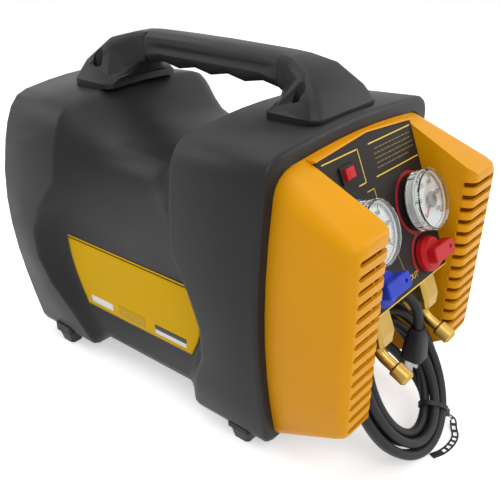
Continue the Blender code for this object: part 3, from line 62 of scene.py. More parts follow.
# Each lamp's name, place, size and power
LAMPS = (
    ("key", (-0.7, -1.6, 1.9), (1.4, 1.0), 19.0),
    ("side", (1.5, -1.2, 1.1), (1.0, 1.0), 8.0),
    ("top", (0.1, 0.3, 2.2), (1.8, 1.8), 17.0),
    ("back", (-0.9, 1.6, 1.3), (1.2, 0.9), 7.0),
)
LAMP_TARGET = (0, 0, 0.15)
WHITE = (1.0, 1.0, 1.0, 1.0)
WORLD_STRENGTH = 0.42
SEEN_STRENGTH = 1.0
FLOOR_REACH = 6.0
FLOOR_COLOUR = (0.92, 0.92, 0.92, 1.0)
FLOOR_ROUGHNESS = 0.8
FLOOR_SPECULAR = 0.1
FLOOR_GLOW = 0.52

# The share of a noise's range that its colours and gloss run over
NOISE_LOW = 0.3
NOISE_HIGH = 0.7
CLOUD_DETAIL = 5.0
PLASTIC_CLOUDS = 14.0
PLASTIC_GLOSS = (-0.05, 0.06)
PLASTIC_GRAIN_DETAIL = 3.0
PLASTIC_GRAIN_STRENGTH = 0.25
METAL_CLOUDS = 60.0
METAL_GLOSS = (-0.08, 0.10)
METAL_GRAIN_DETAIL = 2.0
METAL_GRAIN_STRENGTH = 0.2
LENS_COLOUR = (0.93, 0.95, 0.95, 1.0)
LENS_IOR = 1.46
LENS_CLOUDS = 90.0
LENS_DETAIL = 3.0
LENS_ROUGHNESS = 0.035

# The gap in metres that joins corners, and the angles in degrees that join faces and leave an edge sharp
WELD = 0.00002
FLAT_ANGLE = 0.6
SHARP_ANGLE = 35

# The cord's coil and the leads before and after it, on a route that differs from that of the solids
COIL_CENTRE = (0.0015, -0.2121, 0.0747)
COIL_SIDE = 0.0565
COIL_UP = 0.0695
COIL_START = math.radians(-60)
COIL_END = math.radians(111 - 360 * 5)
COIL_STEPS = 120
COIL_TWIST = 0.4
STRAND_START = -0.25
BUNDLE_RADIAL = 0.0116
BUNDLE_AXIAL = 0.0073
CORD_SPACING = 0.005
RELIEF_PLACE = (0.0, -0.14998, 0.112)
LEAD_IN = (
    (0.0, -0.157, 0.112),
    (0.003, -0.168, 0.109),
    (0.012, -0.178, 0.101),
    (0.026, -0.186, 0.088),
    (0.040, -0.195, 0.070),
    (0.0480, -0.208, 0.051),
    (0.0460, -0.223, 0.0345),
)
LEAD_ARCH = (
    (0.0100, -0.1610, 0.1490),
    (0.0093, -0.1720, 0.1675),
    (0.0240, -0.2165, 0.1724),
)
ARCH_STEPS = 16
PLUG_TOP = (0.0240, -0.2165, 0.1223)
PLUG_FACE_SLACK = 0.0001
PLUG_ROUND = 0.0012
PLUG_SHARP_ANGLE = 40

# The cable tie's strap and head, and its tail from the head down to the floor
TIE_TURN = math.radians(309)
TIE_REACH = CORD_RADIUS + 0.0009
TIE_STEPS = 40
TIE_HALF_WIDTH = 0.0024
TIE_THICK = 0.0013
HEAD_OUT = 0.0032
HEAD_HALF = (0.0042, 0.0030, 0.0048)
HEAD_ROUND = 0.0007
TAIL_OUT = 0.004
TAIL_KNEE = (0.004, -0.006)
TAIL_KNEE_SHARE = 0.45
TAIL_LEVEL = 0.0011
TAIL_ROUTE = (
    (0.050, -0.2605, 0.0030),
    (0.041, -0.2665, TAIL_LEVEL),
    (0.027, -0.2685, TAIL_LEVEL),
    (0.012, -0.2665, TAIL_LEVEL),
    (-0.001, -0.2610, TAIL_LEVEL),
)
TAIL_SPACING = 0.0025
TAIL_HALF_WIDTH = 0.0036
TAIL_THICK = 0.0009
TAIL_RAIL_SHARE = 0.24
TAIL_RUNG_EVERY = 3
TAIL_SOLID_END = 6

# The print on the panel, as (across, down) points from the middle of its upper edge
PRINT_LIFT = 0.00015
PRINT_LINE = 0.0011
FINE_LINE = 0.0007
SWITCH_FRAME = ((-0.071, 0.0037), (-0.018, 0.0037), (-0.018, 0.033), (-0.029, 0.033))
RULED_LINES = (((0.0, 0.0037), (0.073, 0.0037)), ((0.0, 0.033), (0.0745, 0.033)))
SWITCH_MARK = ((-0.020, 0.041), (-0.009, 0.041), (-0.009, 0.052))
FLOW_LINE = ((-0.003, 0.094), (0.002, 0.122))
PANEL_EDGE = ((-0.0752, 0.1427), (0.0752, 0.1427))
PANEL_EDGE_LINE = 0.0013
DASH_LINE = 0.00062
DASH_GAP = 0.0019
DASHES = (0.0042, 0.0026, 0.0056, 0.0034, 0.0048)
WORD_SIZE = 0.0075
WORD_X = 0.0145
WORD_DOWN = 0.1325

# Each coloured arc's radius and width, and its start and end in degrees
GAUGE_ARC = (0.0285, 0.0034, 60, 300)
KNOB_ARC = (0.0217, 0.0034, 150, 262)

# Each broken rule's distance down the panel, its start and end, and the dash that it begins with
BROKEN_RULES = (
    (0.0096, 0.008, 0.070, 4),
    (0.0138, 0.005, 0.071, 3),
    (0.0180, 0.005, 0.072, 3),
    (0.0222, 0.006, 0.071, 2),
    (0.0264, 0.005, 0.060, 1),
)

# The gauges' scales, in shares of the dial's radius and degrees, and the profiles of their turned pieces
DIAL_LEVEL = 0.0153
DIAL_LIFT = 0.0002
DIAL_RADIUS = 0.0252
SCALE_START = 135
SCALE_SWEEP = 270
SCALE_STEPS = 50
LONG_TICK_EVERY = 10
LONG_TICK_START = 0.80
SHORT_TICK_START = 0.86
TICK_END = 0.93
LONG_TICK_LINE = 0.0010
SHORT_TICK_LINE = 0.0005
SCALE_ARC_SHARE = 0.955
SCALE_ARC_LINE = 0.0005
SCALE_ARC_STEPS = 60
MARK_SHARE = 0.46
MARK_LINE = 0.0040
MARK_ANGLES = (-24, 12)
MARK_STEPS = 12
FIGURE_STEPS = 5
FIGURE_WORTH = 100
FIGURE_SHARE = 0.66
FIGURE_SIZE = 0.0056
HUB_LEVEL = 0.0186
HUB_RADIUS = 0.0076
HUB_SIDES = 32
HUB_PROFILE = (
    (0.0, 0.0011),
    (HUB_RADIUS * 0.8, 0.0011),
    (HUB_RADIUS * 0.96, 0.0008),
    (HUB_RADIUS, 0.0003),
    (HUB_RADIUS, 0.0),
    (0.0, 0.0),
)
RIM_LIFT = 0.0001
RIM_SIDES = 64
RIM_PROFILE = ((0.0256, 0.0), (0.0268, 0.0), (0.0268, 0.0014), (0.0262, 0.0020), (0.0256, 0.0014))

# The plate on the left side, as (y, z) points of its rear and front ends, and what lies on it
PLATE_REAR = ((0.154, 0.158), (0.1530, 0.135), (0.148, 0.112), (0.141, 0.092), (0.132, 0.073))
PLATE_FRONT = ((-0.030, 0.073), (-0.041, 0.095), (-0.048, 0.119), (-0.049, 0.138), (-0.046, 0.158))
PLATE_OUTLINE = PLATE_REAR + PLATE_FRONT
PLATE_LEVELS = (0.0745, 0.1535)
TOP_RULE_LEVELS = (0.1550, 0.1570)
FOOT_RULE_LEVELS = (0.0730, 0.0743)
PLATE_LIFT = 0.0004
FIELD_LIFT = 0.0006
FIELD_GRID = (30, 4)
RULE_GRID = (60, 1)
SHEET_THICK = 0.0002
SHEET_INSET = 0.0001
OUTSIDE_X = -0.3

# Each field's name, its rear and front end, its foot and top, and its finish
PLATE_FIELDS = (
    ("label_field_rear", 0.126, 0.090, 0.0795, 0.0885, "dial_white"),
    ("label_field_middle", 0.080, 0.038, 0.0800, 0.0920, "label_shade"),
    ("label_field_front", 0.022, -0.024, 0.0795, 0.0845, "dial_white"),
    ("label_bar_front", 0.022, -0.024, 0.0850, 0.0905, "print_black"),
)

# Each plastic's name, darker and lighter colour, roughness, grains a metre and their depth, and specular
PLASTICS = {
    "case_black": ("case_plastic", (0.012, 0.0118, 0.0125), (0.017, 0.0166, 0.018), 0.44, 1400, 1e-4, 0.24),
    "bezel_orange": ("bezel_plastic", (0.76, 0.325, 0.001), (0.80, 0.345, 0.002), 0.38, 700, 4e-5, 0.16),
    "panel_black": ("panel_overlay", (0.018, 0.014, 0.012), (0.023, 0.019, 0.017), 0.52, 2600, 5e-5, 0.16),
    "rubber_black": ("rubber", (0.011, 0.011, 0.012), (0.017, 0.017, 0.018), 0.50, 1500, 8e-5, 0.35),
    "dial_white": ("dial_print", (0.86, 0.86, 0.84), (0.90, 0.90, 0.88), 0.45, 2000, 2e-5, 0.5),
    "knob_red": ("knob_red_plastic", (0.50, 0.006, 0.010), (0.56, 0.009, 0.014), 0.35, 900, 4e-5, 0.25),
    "knob_blue": ("knob_blue_plastic", (0.014, 0.042, 0.50), (0.019, 0.054, 0.56), 0.35, 900, 4e-5, 0.25),
    "motor_grey": ("motor_paint", (0.070, 0.076, 0.085), (0.10, 0.106, 0.115), 0.48, 800, 1e-4, 0.5),
    "print_yellow": ("yellow_print", (0.78, 0.52, 0.03), (0.82, 0.57, 0.05), 0.45, 1800, 2e-5, 0.5),
    "print_red": ("red_print", (0.36, 0.010, 0.018), (0.41, 0.014, 0.024), 0.42, 1800, 2e-5, 0.5),
    "print_blue": ("blue_print", (0.02, 0.16, 0.42), (0.03, 0.20, 0.48), 0.42, 1800, 2e-5, 0.5),
    "print_black": ("black_print", (0.020, 0.020, 0.020), (0.028, 0.028, 0.028), 0.50, 1800, 2e-5, 0.5),
    "hub_grey": ("hub_paint", (0.20, 0.20, 0.19), (0.25, 0.25, 0.24), 0.42, 1500, 2e-5, 0.5),
    "print_dim": ("dim_print", (0.30, 0.21, 0.06), (0.34, 0.24, 0.08), 0.50, 1800, 2e-5, 0.5),
    "label_shade": ("label_shade", (0.60, 0.36, 0.015), (0.64, 0.39, 0.020), 0.40, 900, 3e-5, 0.1),
    "label_yellow": ("label_vinyl", (0.76, 0.440, 0.001), (0.80, 0.465, 0.002), 0.40, 900, 3e-5, 0.06),
}

# Each metal's name, darker and lighter colour, roughness, grains a metre and their depth
METALS = {
    "brass": ("machined_brass", (0.44, 0.285, 0.065), (0.52, 0.345, 0.09), 0.38, 900, 4e-5),
    "steel": ("zinc_steel", (0.50, 0.51, 0.53), (0.60, 0.61, 0.63), 0.34, 900, 4e-5),
    "aluminium": ("cast_aluminium", (0.62, 0.63, 0.65), (0.72, 0.73, 0.75), 0.50, 500, 2e-4),
    "copper": ("drawn_copper", (0.70, 0.30, 0.16), (0.78, 0.38, 0.22), 0.32, 900, 4e-5),
}

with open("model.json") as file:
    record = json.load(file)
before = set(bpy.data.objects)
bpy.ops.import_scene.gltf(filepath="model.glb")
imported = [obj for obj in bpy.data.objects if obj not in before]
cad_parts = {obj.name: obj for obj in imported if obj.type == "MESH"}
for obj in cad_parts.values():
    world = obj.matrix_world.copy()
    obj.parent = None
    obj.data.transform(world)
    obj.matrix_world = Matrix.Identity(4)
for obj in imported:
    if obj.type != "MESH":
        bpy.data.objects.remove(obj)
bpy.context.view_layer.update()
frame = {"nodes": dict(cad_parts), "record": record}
nodes = frame["nodes"]
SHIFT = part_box("case_shell")[1].y - REAR_Y
NODE_SLOTS = {entry["node"]: entry["material_slot"] for entry in frame["record"]["subparts"]}


# Node graphs
def new_material(name):
    made = bpy.data.materials.new(name)
    made.use_nodes = True
    tree = made.node_tree
    return made, tree, tree.nodes["Principled BSDF"]


def add_node(tree, kind, **values):
    made = tree.nodes.new(kind)
    for key, value in values.items():
        setattr(made, key, value)
    return made


def noise(tree, cells, detail):
    """A noise in object coordinates, with this many cells a metre."""
    where = add_node(tree, "ShaderNodeTexCoord")
    made = add_node(tree, "ShaderNodeTexNoise")
    tree.links.new(where.outputs["Object"], made.inputs["Vector"])
    made.inputs["Scale"].default_value = cells
    made.inputs["Detail"].default_value = detail
    return made.outputs["Fac"]


def spread(tree, source, low, high):
    """Maps a noise to a range of numbers."""
    made = add_node(tree, "ShaderNodeMapRange")
    made.inputs["From Min"].default_value = NOISE_LOW
    made.inputs["From Max"].default_value = NOISE_HIGH
    made.inputs["To Min"].default_value = low
    made.inputs["To Max"].default_value = high
    tree.links.new(source, made.inputs["Value"])
    return made.outputs["Result"]


def tint(tree, source, first, second):
    """Runs from one colour to another over a noise."""
    made = add_node(tree, "ShaderNodeValToRGB")
    made.color_ramp.elements[0].position = NOISE_LOW
    made.color_ramp.elements[0].color = (*first, 1.0)
    made.color_ramp.elements[1].position = NOISE_HIGH
    made.color_ramp.elements[1].color = (*second, 1.0)
    tree.links.new(source, made.inputs["Fac"])
    return made.outputs["Color"]


def bump(tree, shader, source, strength, distance):
    """Raises the surface by a noise."""
    made = add_node(tree, "ShaderNodeBump")
    made.inputs["Strength"].default_value = strength
    made.inputs["Distance"].default_value = distance
    tree.links.new(source, made.inputs["Height"])
    tree.links.new(made.outputs["Normal"], shader.inputs["Normal"])


def plastic(name, colour, other, roughness, grain, depth, specular):
    """Moulded plastic: slow colour and gloss changes, and the fine grain of the mould."""
    made, tree, shader = new_material(name)
    cloud = noise(tree, PLASTIC_CLOUDS, CLOUD_DETAIL)
    tree.links.new(tint(tree, cloud, colour, other), shader.inputs["Base Color"])
    gloss = spread(tree, cloud, roughness + PLASTIC_GLOSS[0], roughness + PLASTIC_GLOSS[1])
    tree.links.new(gloss, shader.inputs["Roughness"])
    fine = noise(tree, grain, PLASTIC_GRAIN_DETAIL)
    bump(tree, shader, fine, PLASTIC_GRAIN_STRENGTH, depth)
    shader.inputs["Specular IOR Level"].default_value = specular
    return made


def metal(name, colour, other, roughness, grain, depth):
    """Bare metal, with small changes of colour and gloss and a fine grain."""
    made, tree, shader = new_material(name)
    cloud = noise(tree, METAL_CLOUDS, CLOUD_DETAIL)
    tree.links.new(tint(tree, cloud, colour, other), shader.inputs["Base Color"])
    gloss = spread(tree, cloud, roughness + METAL_GLOSS[0], roughness + METAL_GLOSS[1])
    tree.links.new(gloss, shader.inputs["Roughness"])
    shader.inputs["Metallic"].default_value = 1.0
    fine = noise(tree, grain, METAL_GRAIN_DETAIL)
    bump(tree, shader, fine, METAL_GRAIN_STRENGTH, depth)
    return made


def clear_plastic():
    """The gauges' lenses: clear, with a gloss that changes a little."""
    made, tree, shader = new_material("lens_clear")
    shader.inputs["Base Color"].default_value = LENS_COLOUR
    shader.inputs["Transmission Weight"].default_value = 1.0
    shader.inputs["IOR"].default_value = LENS_IOR
    cloud = noise(tree, LENS_CLOUDS, LENS_DETAIL)
    tree.links.new(spread(tree, cloud, 0.0, LENS_ROUGHNESS), shader.inputs["Roughness"])
    return made


MATERIALS = {slot: plastic(*values) for slot, values in PLASTICS.items()}
MATERIALS.update({slot: metal(*values) for slot, values in METALS.items()})
MATERIALS["clear_plastic"] = clear_plastic()


def dress_nodes():
    """Gives each solid that stays the full material of its slot, and the gauges' bodies a pale plastic."""
    for name, obj in nodes.items():
        for place in range(len(obj.material_slots)):
            obj.material_slots[place].material = MATERIALS[NODE_SLOTS[name]]
    for word in ("inlet", "outlet"):
        nodes[f"{word}_gauge_body"].material_slots[0].material = MATERIALS["dial_white"]


# Building helpers
def shifted(point):
    """A point of the solids' own frame, in this scene's."""
    return Vector(point) + Vector((0, SHIFT, 0))


def polar(radius, angle):
    return radius * math.cos(angle), radius * math.sin(angle)


def finish_object(obj, material, body="housing"):
    """Gives a piece its finish and its body."""
    obj.data.materials.append(MATERIALS[material])
    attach(obj, body)
    return obj


def link_mesh(name, mesh):
    obj = bpy.data.objects.new(name, mesh)
    bpy.context.collection.objects.link(obj)
    return obj


def mesh_object(name, points, faces):
    """A piece from points and faces, with its normals outward and its curves shaded smooth."""
    mesh = bpy.data.meshes.new(name)
    mesh.from_pydata([tuple(p) for p in points], [], faces)
    edit = bmesh.new()
    edit.from_mesh(mesh)
    bmesh.ops.recalc_face_normals(edit, faces=edit.faces)
    edit.to_mesh(mesh)
    edit.free()
    mesh.shade_smooth()
    mesh.set_sharp_from_angle(angle=math.radians(SHARP_ANGLE))
    return link_mesh(name, mesh)


def soften(obj, width, segments=2, angle=30):
    """Rounds the sharp edges of a hard piece."""
    bevel = obj.modifiers.new("Edges", "BEVEL")
    bevel.width = width
    bevel.segments = segments
    bevel.limit_method = "ANGLE"
    bevel.angle_limit = math.radians(angle)
    bevel.harden_normals = False
    return obj


def welded(source):
    """A solid's mesh opened for editing, with the corners that its facets share joined."""
    edit = bmesh.new()
    edit.from_mesh(source)
    bmesh.ops.remove_doubles(edit, verts=edit.verts, dist=WELD)
    return edit


def smooth_mesh(name, edit, angle):
    """The edited mesh, with its flat faces joined and its curves shaded smooth."""
    bmesh.ops.dissolve_limit(
        edit, angle_limit=math.radians(FLAT_ANGLE), verts=edit.verts, edges=edit.edges
    )
    mesh = bpy.data.meshes.new(name)
    edit.to_mesh(mesh)
    edit.free()
    mesh.shade_smooth()
    mesh.set_sharp_from_angle(angle=math.radians(angle))
    return mesh


def skin(node, body="housing", width=0.0, angle=SHARP_ANGLE):
    """A smooth piece in a node's place, with its edges rounded by the width."""
    mesh = smooth_mesh(f"{node}_skin", welded(nodes[node].data), angle)
    obj = link_mesh(f"{node}_skin", mesh)
    if width:
        soften(obj, width, angle=angle)
    mesh.materials.append(nodes[node].material_slots[0].material)
    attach(obj, body)
    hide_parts(node)
    return obj


def mesh_part(name, source, keep):
    """The faces of a mesh that keep accepts, as a closed piece of their own."""
    edit = welded(source)
    others = [face for face in edit.faces if not keep(face.calc_center_median())]
    bmesh.ops.delete(edit, geom=others, context="FACES")
    bmesh.ops.holes_fill(edit, edges=[edge for edge in edit.edges if edge.is_boundary])
    return link_mesh(name, smooth_mesh(name, edit, PLUG_SHARP_ANGLE))


def turned_piece(name, profile, count, closed=False):
    """A profile of (radius, height) points turned round the Z axis."""
    points = []
    rings = []
    for radius, height in profile:
        if radius == 0:
            rings.append([len(points)])
            points.append((0, 0, height))
            continue
        rings.append(list(range(len(points), len(points) + count)))
        points += [(*polar(radius, math.tau * i / count), height) for i in range(count)]
    faces = []
    for low, high in zip(rings, rings[1:] + rings[:1] if closed else rings[1:]):
        for i in range(count):
            j = (i + 1) % count
            if len(low) == 1:
                faces.append((low[0], high[i], high[j]))
            elif len(high) == 1:
                faces.append((low[j], low[i], high[0]))
            else:
                faces.append((low[i], low[j], high[j], high[i]))
    return mesh_object(name, points, faces)


def panel_point(x, up, out):
    """A point of the panel's own frame: across, up its slope and out of its face."""
    along = Vector((0, math.sin(PANEL_TILT), math.cos(PANEL_TILT)))
    normal = Vector((0, -math.cos(PANEL_TILT), math.sin(PANEL_TILT)))
    return Vector((x, PANEL_TOP_Y + SHIFT, PANEL_TOP_Z)) + along * up + normal * out


def panel_matrix(x, down, out):
    """Where a piece lies on the panel, with its own Z out of the panel's face."""
    turn = Euler((math.pi / 2 - PANEL_TILT, 0, 0))
    return Matrix.Translation(panel_point(x, -down, out)) @ turn.to_matrix().to_4x4()


# The view and the light
def add_camera():
    camera = bpy.data.cameras.new("camera")
    camera.sensor_width = SENSOR_WIDTH
    camera.lens = FOCAL_LENGTH
    camera.shift_x, camera.shift_y = LENS_SHIFT
    camera.clip_start = NEAR_LIMIT
    obj = bpy.data.objects.new("camera", camera)
    x, y, z = CAMERA_PLACE
    obj.location = (x, y + SHIFT, z)
    obj.rotation_euler = (CAMERA_PITCH, 0, CAMERA_HEADING)
    bpy.context.collection.objects.link(obj)
    bpy.context.scene.camera = obj


def add_area(name, place, size, power):
    lamp = bpy.data.lights.new(name, "AREA")
    lamp.shape = "RECTANGLE"
    lamp.size, lamp.size_y = size
    lamp.energy = power
    obj = bpy.data.objects.new(name, lamp)
    obj.location = place
    obj.rotation_euler = (Vector(LAMP_TARGET) - Vector(place)).to_track_quat("-Z", "Y").to_euler()
    bpy.context.collection.objects.link(obj)


def sees_plain_white(tree):
    """1 where the camera, a mirror or a lens looks at the surface, and 0 where it lights the object."""
    path = add_node(tree, "ShaderNodeLightPath")
    total = path.outputs["Is Camera Ray"]
    for ray in ("Is Glossy Ray", "Is Transmission Ray"):
        larger = add_node(tree, "ShaderNodeMath", operation="MAXIMUM")
        tree.links.new(total, larger.inputs[0])
        tree.links.new(path.outputs[ray], larger.inputs[1])
        total = larger.outputs[0]
    return total


def add_world():
    """A dim light from all round, which looks plain white."""
    world = bpy.data.worlds.new("studio")
    bpy.context.scene.world = world
    world.use_nodes = True
    tree = world.node_tree
    dim = tree.nodes["Background"]
    dim.inputs["Color"].default_value = WHITE
    dim.inputs["Strength"].default_value = WORLD_STRENGTH
    bright = add_node(tree, "ShaderNodeBackground")
    bright.inputs["Color"].default_value = WHITE
    bright.inputs["Strength"].default_value = SEEN_STRENGTH
    both = add_node(tree, "ShaderNodeMixShader")
    tree.links.new(sees_plain_white(tree), both.inputs["Fac"])
    tree.links.new(dim.outputs["Background"], both.inputs[1])
    tree.links.new(bright.outputs["Background"], both.inputs[2])
    tree.links.new(both.outputs["Shader"], tree.nodes["World Output"].inputs["Surface"])


def add_floor():
    """A white floor that keeps the machine's soft shadow."""
    corners = [(FLOOR_REACH * x, FLOOR_REACH * y, 0) for x, y in ((-1, -1), (1, -1), (1, 1), (-1, 1))]
    floor = mesh_object("floor", corners, [(0, 1, 2, 3)])
    made, tree, shader = new_material("floor_white")
    shader.inputs["Base Color"].default_value = FLOOR_COLOUR
    shader.inputs["Roughness"].default_value = FLOOR_ROUGHNESS
    shader.inputs["Specular IOR Level"].default_value = FLOOR_SPECULAR
    glow = add_node(tree, "ShaderNodeEmission")
    glow.inputs["Strength"].default_value = FLOOR_GLOW
    total = add_node(tree, "ShaderNodeAddShader")
    tree.links.new(shader.outputs["BSDF"], total.inputs[0])
    tree.links.new(glow.outputs["Emission"], total.inputs[1])
    both = add_node(tree, "ShaderNodeMixShader")
    tree.links.new(sees_plain_white(tree), both.inputs["Fac"])
    tree.links.new(shader.outputs["BSDF"], both.inputs[1])
    tree.links.new(total.outputs["Shader"], both.inputs[2])
    tree.links.new(both.outputs["Shader"], tree.nodes["Material Output"].inputs["Surface"])
    floor.data.materials.append(made)


def light_studio():
    bpy.context.scene.view_settings.view_transform = "Standard"
    for lamp in LAMPS:
        add_area(*lamp)
    add_world()
    add_floor()


# The cord
def coil_frame():
    """The coil's centre, and the directions across it, up it and out of its plane."""
    side = Vector((1, 0, 0))
    up = Vector((0, math.sin(COIL_LEAN), math.cos(COIL_LEAN)))
    normal = Vector((0, -math.cos(COIL_LEAN), math.sin(COIL_LEAN)))
    return shifted(COIL_CENTRE), side, up, normal


def bundle_point(turn, radial, axial):
    """A point beside the bundle's centre line, at this place round the coil."""
    centre, side, up, normal = coil_frame()
    outward = (side * math.cos(turn) * COIL_UP + up * math.sin(turn) * COIL_SIDE).normalized()
    middle = centre + side * COIL_SIDE * math.cos(turn) + up * COIL_UP * math.sin(turn)
    return middle + outward * radial + normal * axial


def slot_table(steps=360):
    """Angles round the bundle's oval that lie the same way apart along it."""
    walked = [0.0]
    for i in range(steps):
        a = math.tau * i / steps
        b = math.tau * (i + 1) / steps
        across = BUNDLE_RADIAL * (math.cos(b) - math.cos(a))
        along = BUNDLE_AXIAL * (math.sin(b) - math.sin(a))
        walked.append(walked[-1] + math.hypot(across, along))
    return [w / walked[-1] for w in walked]


SLOTS = slot_table()


def slot_offset(share):
    """Where a strand lies in the bundle, by its share of the way round the oval."""
    share %= 1.0
    low = max(i for i, walked in enumerate(SLOTS[:-1]) if walked <= share)
    part = (share - SLOTS[low]) / (SLOTS[low + 1] - SLOTS[low])
    angle = math.tau * (low + part) / (len(SLOTS) - 1)
    return BUNDLE_RADIAL * math.cos(angle), BUNDLE_AXIAL * math.sin(angle)


def smooth_route(route, spacing):
    """Points along a Catmull-Rom curve through the route's points, about one spacing apart."""
    ends = [Vector(p) for p in route]
    chain = [ends[0] * 2 - ends[1], *ends, ends[-1] * 2 - ends[-2]]
    points = []
    for a, b, c, d in zip(chain, chain[1:], chain[2:], chain[3:]):
        steps = max(1, round((c - b).length / spacing))
        square = 2 * a - 5 * b + 4 * c - d
        cube = 3 * b - a - 3 * c + d
        for i in range(steps):
            t = i / steps
            points.append(0.5 * (2 * b + (c - a) * t + square * t**2 + cube * t**3))
    points.append(ends[-1])
    return points


def arch_point(handles, t):
    """A point of the Bezier curve with these handles, from any number of them."""
    while len(handles) > 1:
        handles = [a.lerp(b, t) for a, b in zip(handles, handles[1:])]
    return handles[0]


def cord_route():
    """From the strain relief, down behind the coil, round it, and over its top to the plug."""
    route = [shifted(p) for p in (RELIEF_PLACE, *LEAD_IN)]
    for i in range(COIL_STEPS + 1):
        turn = COIL_START + (COIL_END - COIL_START) * i / COIL_STEPS
        share = STRAND_START + COIL_TWIST * (turn - COIL_START) / math.tau
        route.append(bundle_point(turn, *slot_offset(share)))
    handles = [route[-1], *(shifted(p) for p in (*LEAD_ARCH, PLUG_TOP))]
    route += [arch_point(handles, i / ARCH_STEPS) for i in range(1, ARCH_STEPS + 1)]
    return smooth_route(route, CORD_SPACING)


def add_spline(name, points, radius, material, sides=5):
    """A smooth round cord through the points, closed at both ends."""
    curve = bpy.data.curves.new(name, "CURVE")
    curve.dimensions = "3D"
    curve.bevel_depth = radius
    curve.bevel_resolution = sides
    curve.use_fill_caps = True
    spline = curve.splines.new("POLY")
    spline.points.add(len(points) - 1)
    for target, point in zip(spline.points, points):
        target.co = (*point, 1.0)
    spline.use_smooth = True
    obj = bpy.data.objects.new(name, curve)
    bpy.context.collection.objects.link(obj)
    curve.materials.append(MATERIALS[material])
    return obj


def strip(name, centres, across, thick):
    """A flat strap through the centres, each with its own vector across it and out of its face."""
    points = []
    for centre, (side, out) in zip(centres, across):
        for s, o in ((-1, -1), (1, -1), (1, 1), (-1, 1)):
            points.append(centre + side * s + out * (o * thick / 2))
    faces = []
    rows = len(centres)
    for row in range(rows - 1):
        for i in range(4):
            j = (i + 1) % 4
            faces.append((row * 4 + i, row * 4 + j, (row + 1) * 4 + j, (row + 1) * 4 + i))
    faces.append((3, 2, 1, 0))
    faces.append(tuple(range((rows - 1) * 4, rows * 4)))
    return mesh_object(name, points, faces)


def tie_frame():
    """The directions at the tie: along the cord, out from the coil, and out of the coil's plane."""
    normal = coil_frame()[3]
    outward = (bundle_point(TIE_TURN, 1, 0) - bundle_point(TIE_TURN, 0, 0)).normalized()
    return normal.cross(outward), outward, normal


def tie_strap():
    tangent, outward, normal = tie_frame()
    centres = []
    across = []
    for i in range(TIE_STEPS + 1):
        angle = math.tau * i / TIE_STEPS
        radial = (BUNDLE_RADIAL + TIE_REACH) * math.cos(angle)
        axial = (BUNDLE_AXIAL + TIE_REACH) * math.sin(angle)
        out = (outward * math.cos(angle) + normal * math.sin(angle)).normalized()
        centres.append(bundle_point(TIE_TURN, radial, axial))
        across.append((tangent * TIE_HALF_WIDTH, out))
    return finish_object(strip("tie_strap", centres, across, TIE_THICK), "rubber_black")


def tie_head(middle):
    tangent, outward, normal = tie_frame()
    wide, deep, high = HEAD_HALF
    corners = []
    for s in (-1, 1):
        for o in (-1, 1):
            for n in (-1, 1):
                corners.append(middle + tangent * s * wide + outward * o * deep + normal * n * high)
    faces = [(0, 1, 3, 2), (4, 6, 7, 5), (0, 4, 5, 1), (2, 3, 7, 6), (0, 2, 6, 4), (1, 5, 7, 3)]
    head = soften(mesh_object("tie_head", corners, faces), HEAD_ROUND)
    return finish_object(head, "rubber_black")


def tail_rail(middle, side):
    """One edge of the tail, on this side of the points along its middle."""
    edge = []
    for i, point in enumerate(middle):
        ahead = middle[min(i + 1, len(middle) - 1)] - middle[max(i - 1, 0)]
        flat = Vector((0, 0, 1)).cross(ahead).normalized()
        edge.append(point + flat * side * TAIL_HALF_WIDTH)
    return edge


def tail_faces(last):
    """The faces of a ladder with eight points a row: two rails, and rungs between some of the rows."""
    faces = []
    for i in range(last):
        a = i * 8
        b = a + 8
        for first in (0, 4):
            ring = (first, first + 1, first + 3, first + 2)
            for p, q in zip(ring, ring[1:] + ring[:1]):
                faces.append((a + p, a + q, b + q, b + p))
        if i % TAIL_RUNG_EVERY == 0 or i > last - TAIL_SOLID_END:
            for p, q in ((2, 4), (3, 5)):
                faces.append((a + p, a + q, b + q, b + p))
            for end in (a, b):
                faces.append((end + 2, end + 3, end + 5, end + 4))
    for end in (0, last * 8):
        for first in (0, 4):
            faces.append((end + first, end + first + 1, end + first + 3, end + first + 2))
    return faces


def tie_tail(start):
    """The tail, from the head down to the floor and along it."""
    knee = Vector((start.x + TAIL_KNEE[0], start.y + TAIL_KNEE[1], start.z * TAIL_KNEE_SHARE))
    middle = smooth_route([start, knee, *(shifted(p) for p in TAIL_ROUTE)], TAIL_SPACING)
    thick = Vector((0, 0, TAIL_THICK))
    points = []
    for left, right in zip(tail_rail(middle, -1), tail_rail(middle, 1)):
        inner = (right - left) * TAIL_RAIL_SHARE
        for corner in (left, left + inner, right - inner, right):
            points += [corner - thick / 2, corner + thick / 2]
    return finish_object(mesh_object("tie_tail", points, tail_faces(len(middle) - 1)), "rubber_black")


def build_tie():
    """The cable tie round the bundle: its strap, its head, and its ladder of a tail on the floor."""
    outward = tie_frame()[1]
    head_at = bundle_point(TIE_TURN, BUNDLE_RADIAL + TIE_REACH + HEAD_OUT, 0.0)
    strap = tie_strap()
    head = tie_head(head_at)
    tail = tie_tail(head_at + outward * TAIL_OUT)
    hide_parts("cable_tie")
    return [strap, head, tail]


def build_plug():
    """The moulded plug body, and its metal blades below it."""
    source = nodes["power_plug"].data
    face_z = PLUG_TOP[2] - SEAT_GAP - PLUG_LENGTH - PLUG_FACE_SLACK
    body = mesh_part("plug_body", source, lambda middle: middle.z > face_z)
    soften(body, PLUG_ROUND, segments=3, angle=50)
    blades = mesh_part("plug_blades", source, lambda middle: middle.z <= face_z)
    finish_object(body, "rubber_black")
    finish_object(blades, "steel")
    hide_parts("power_plug")
    return [body, blades]


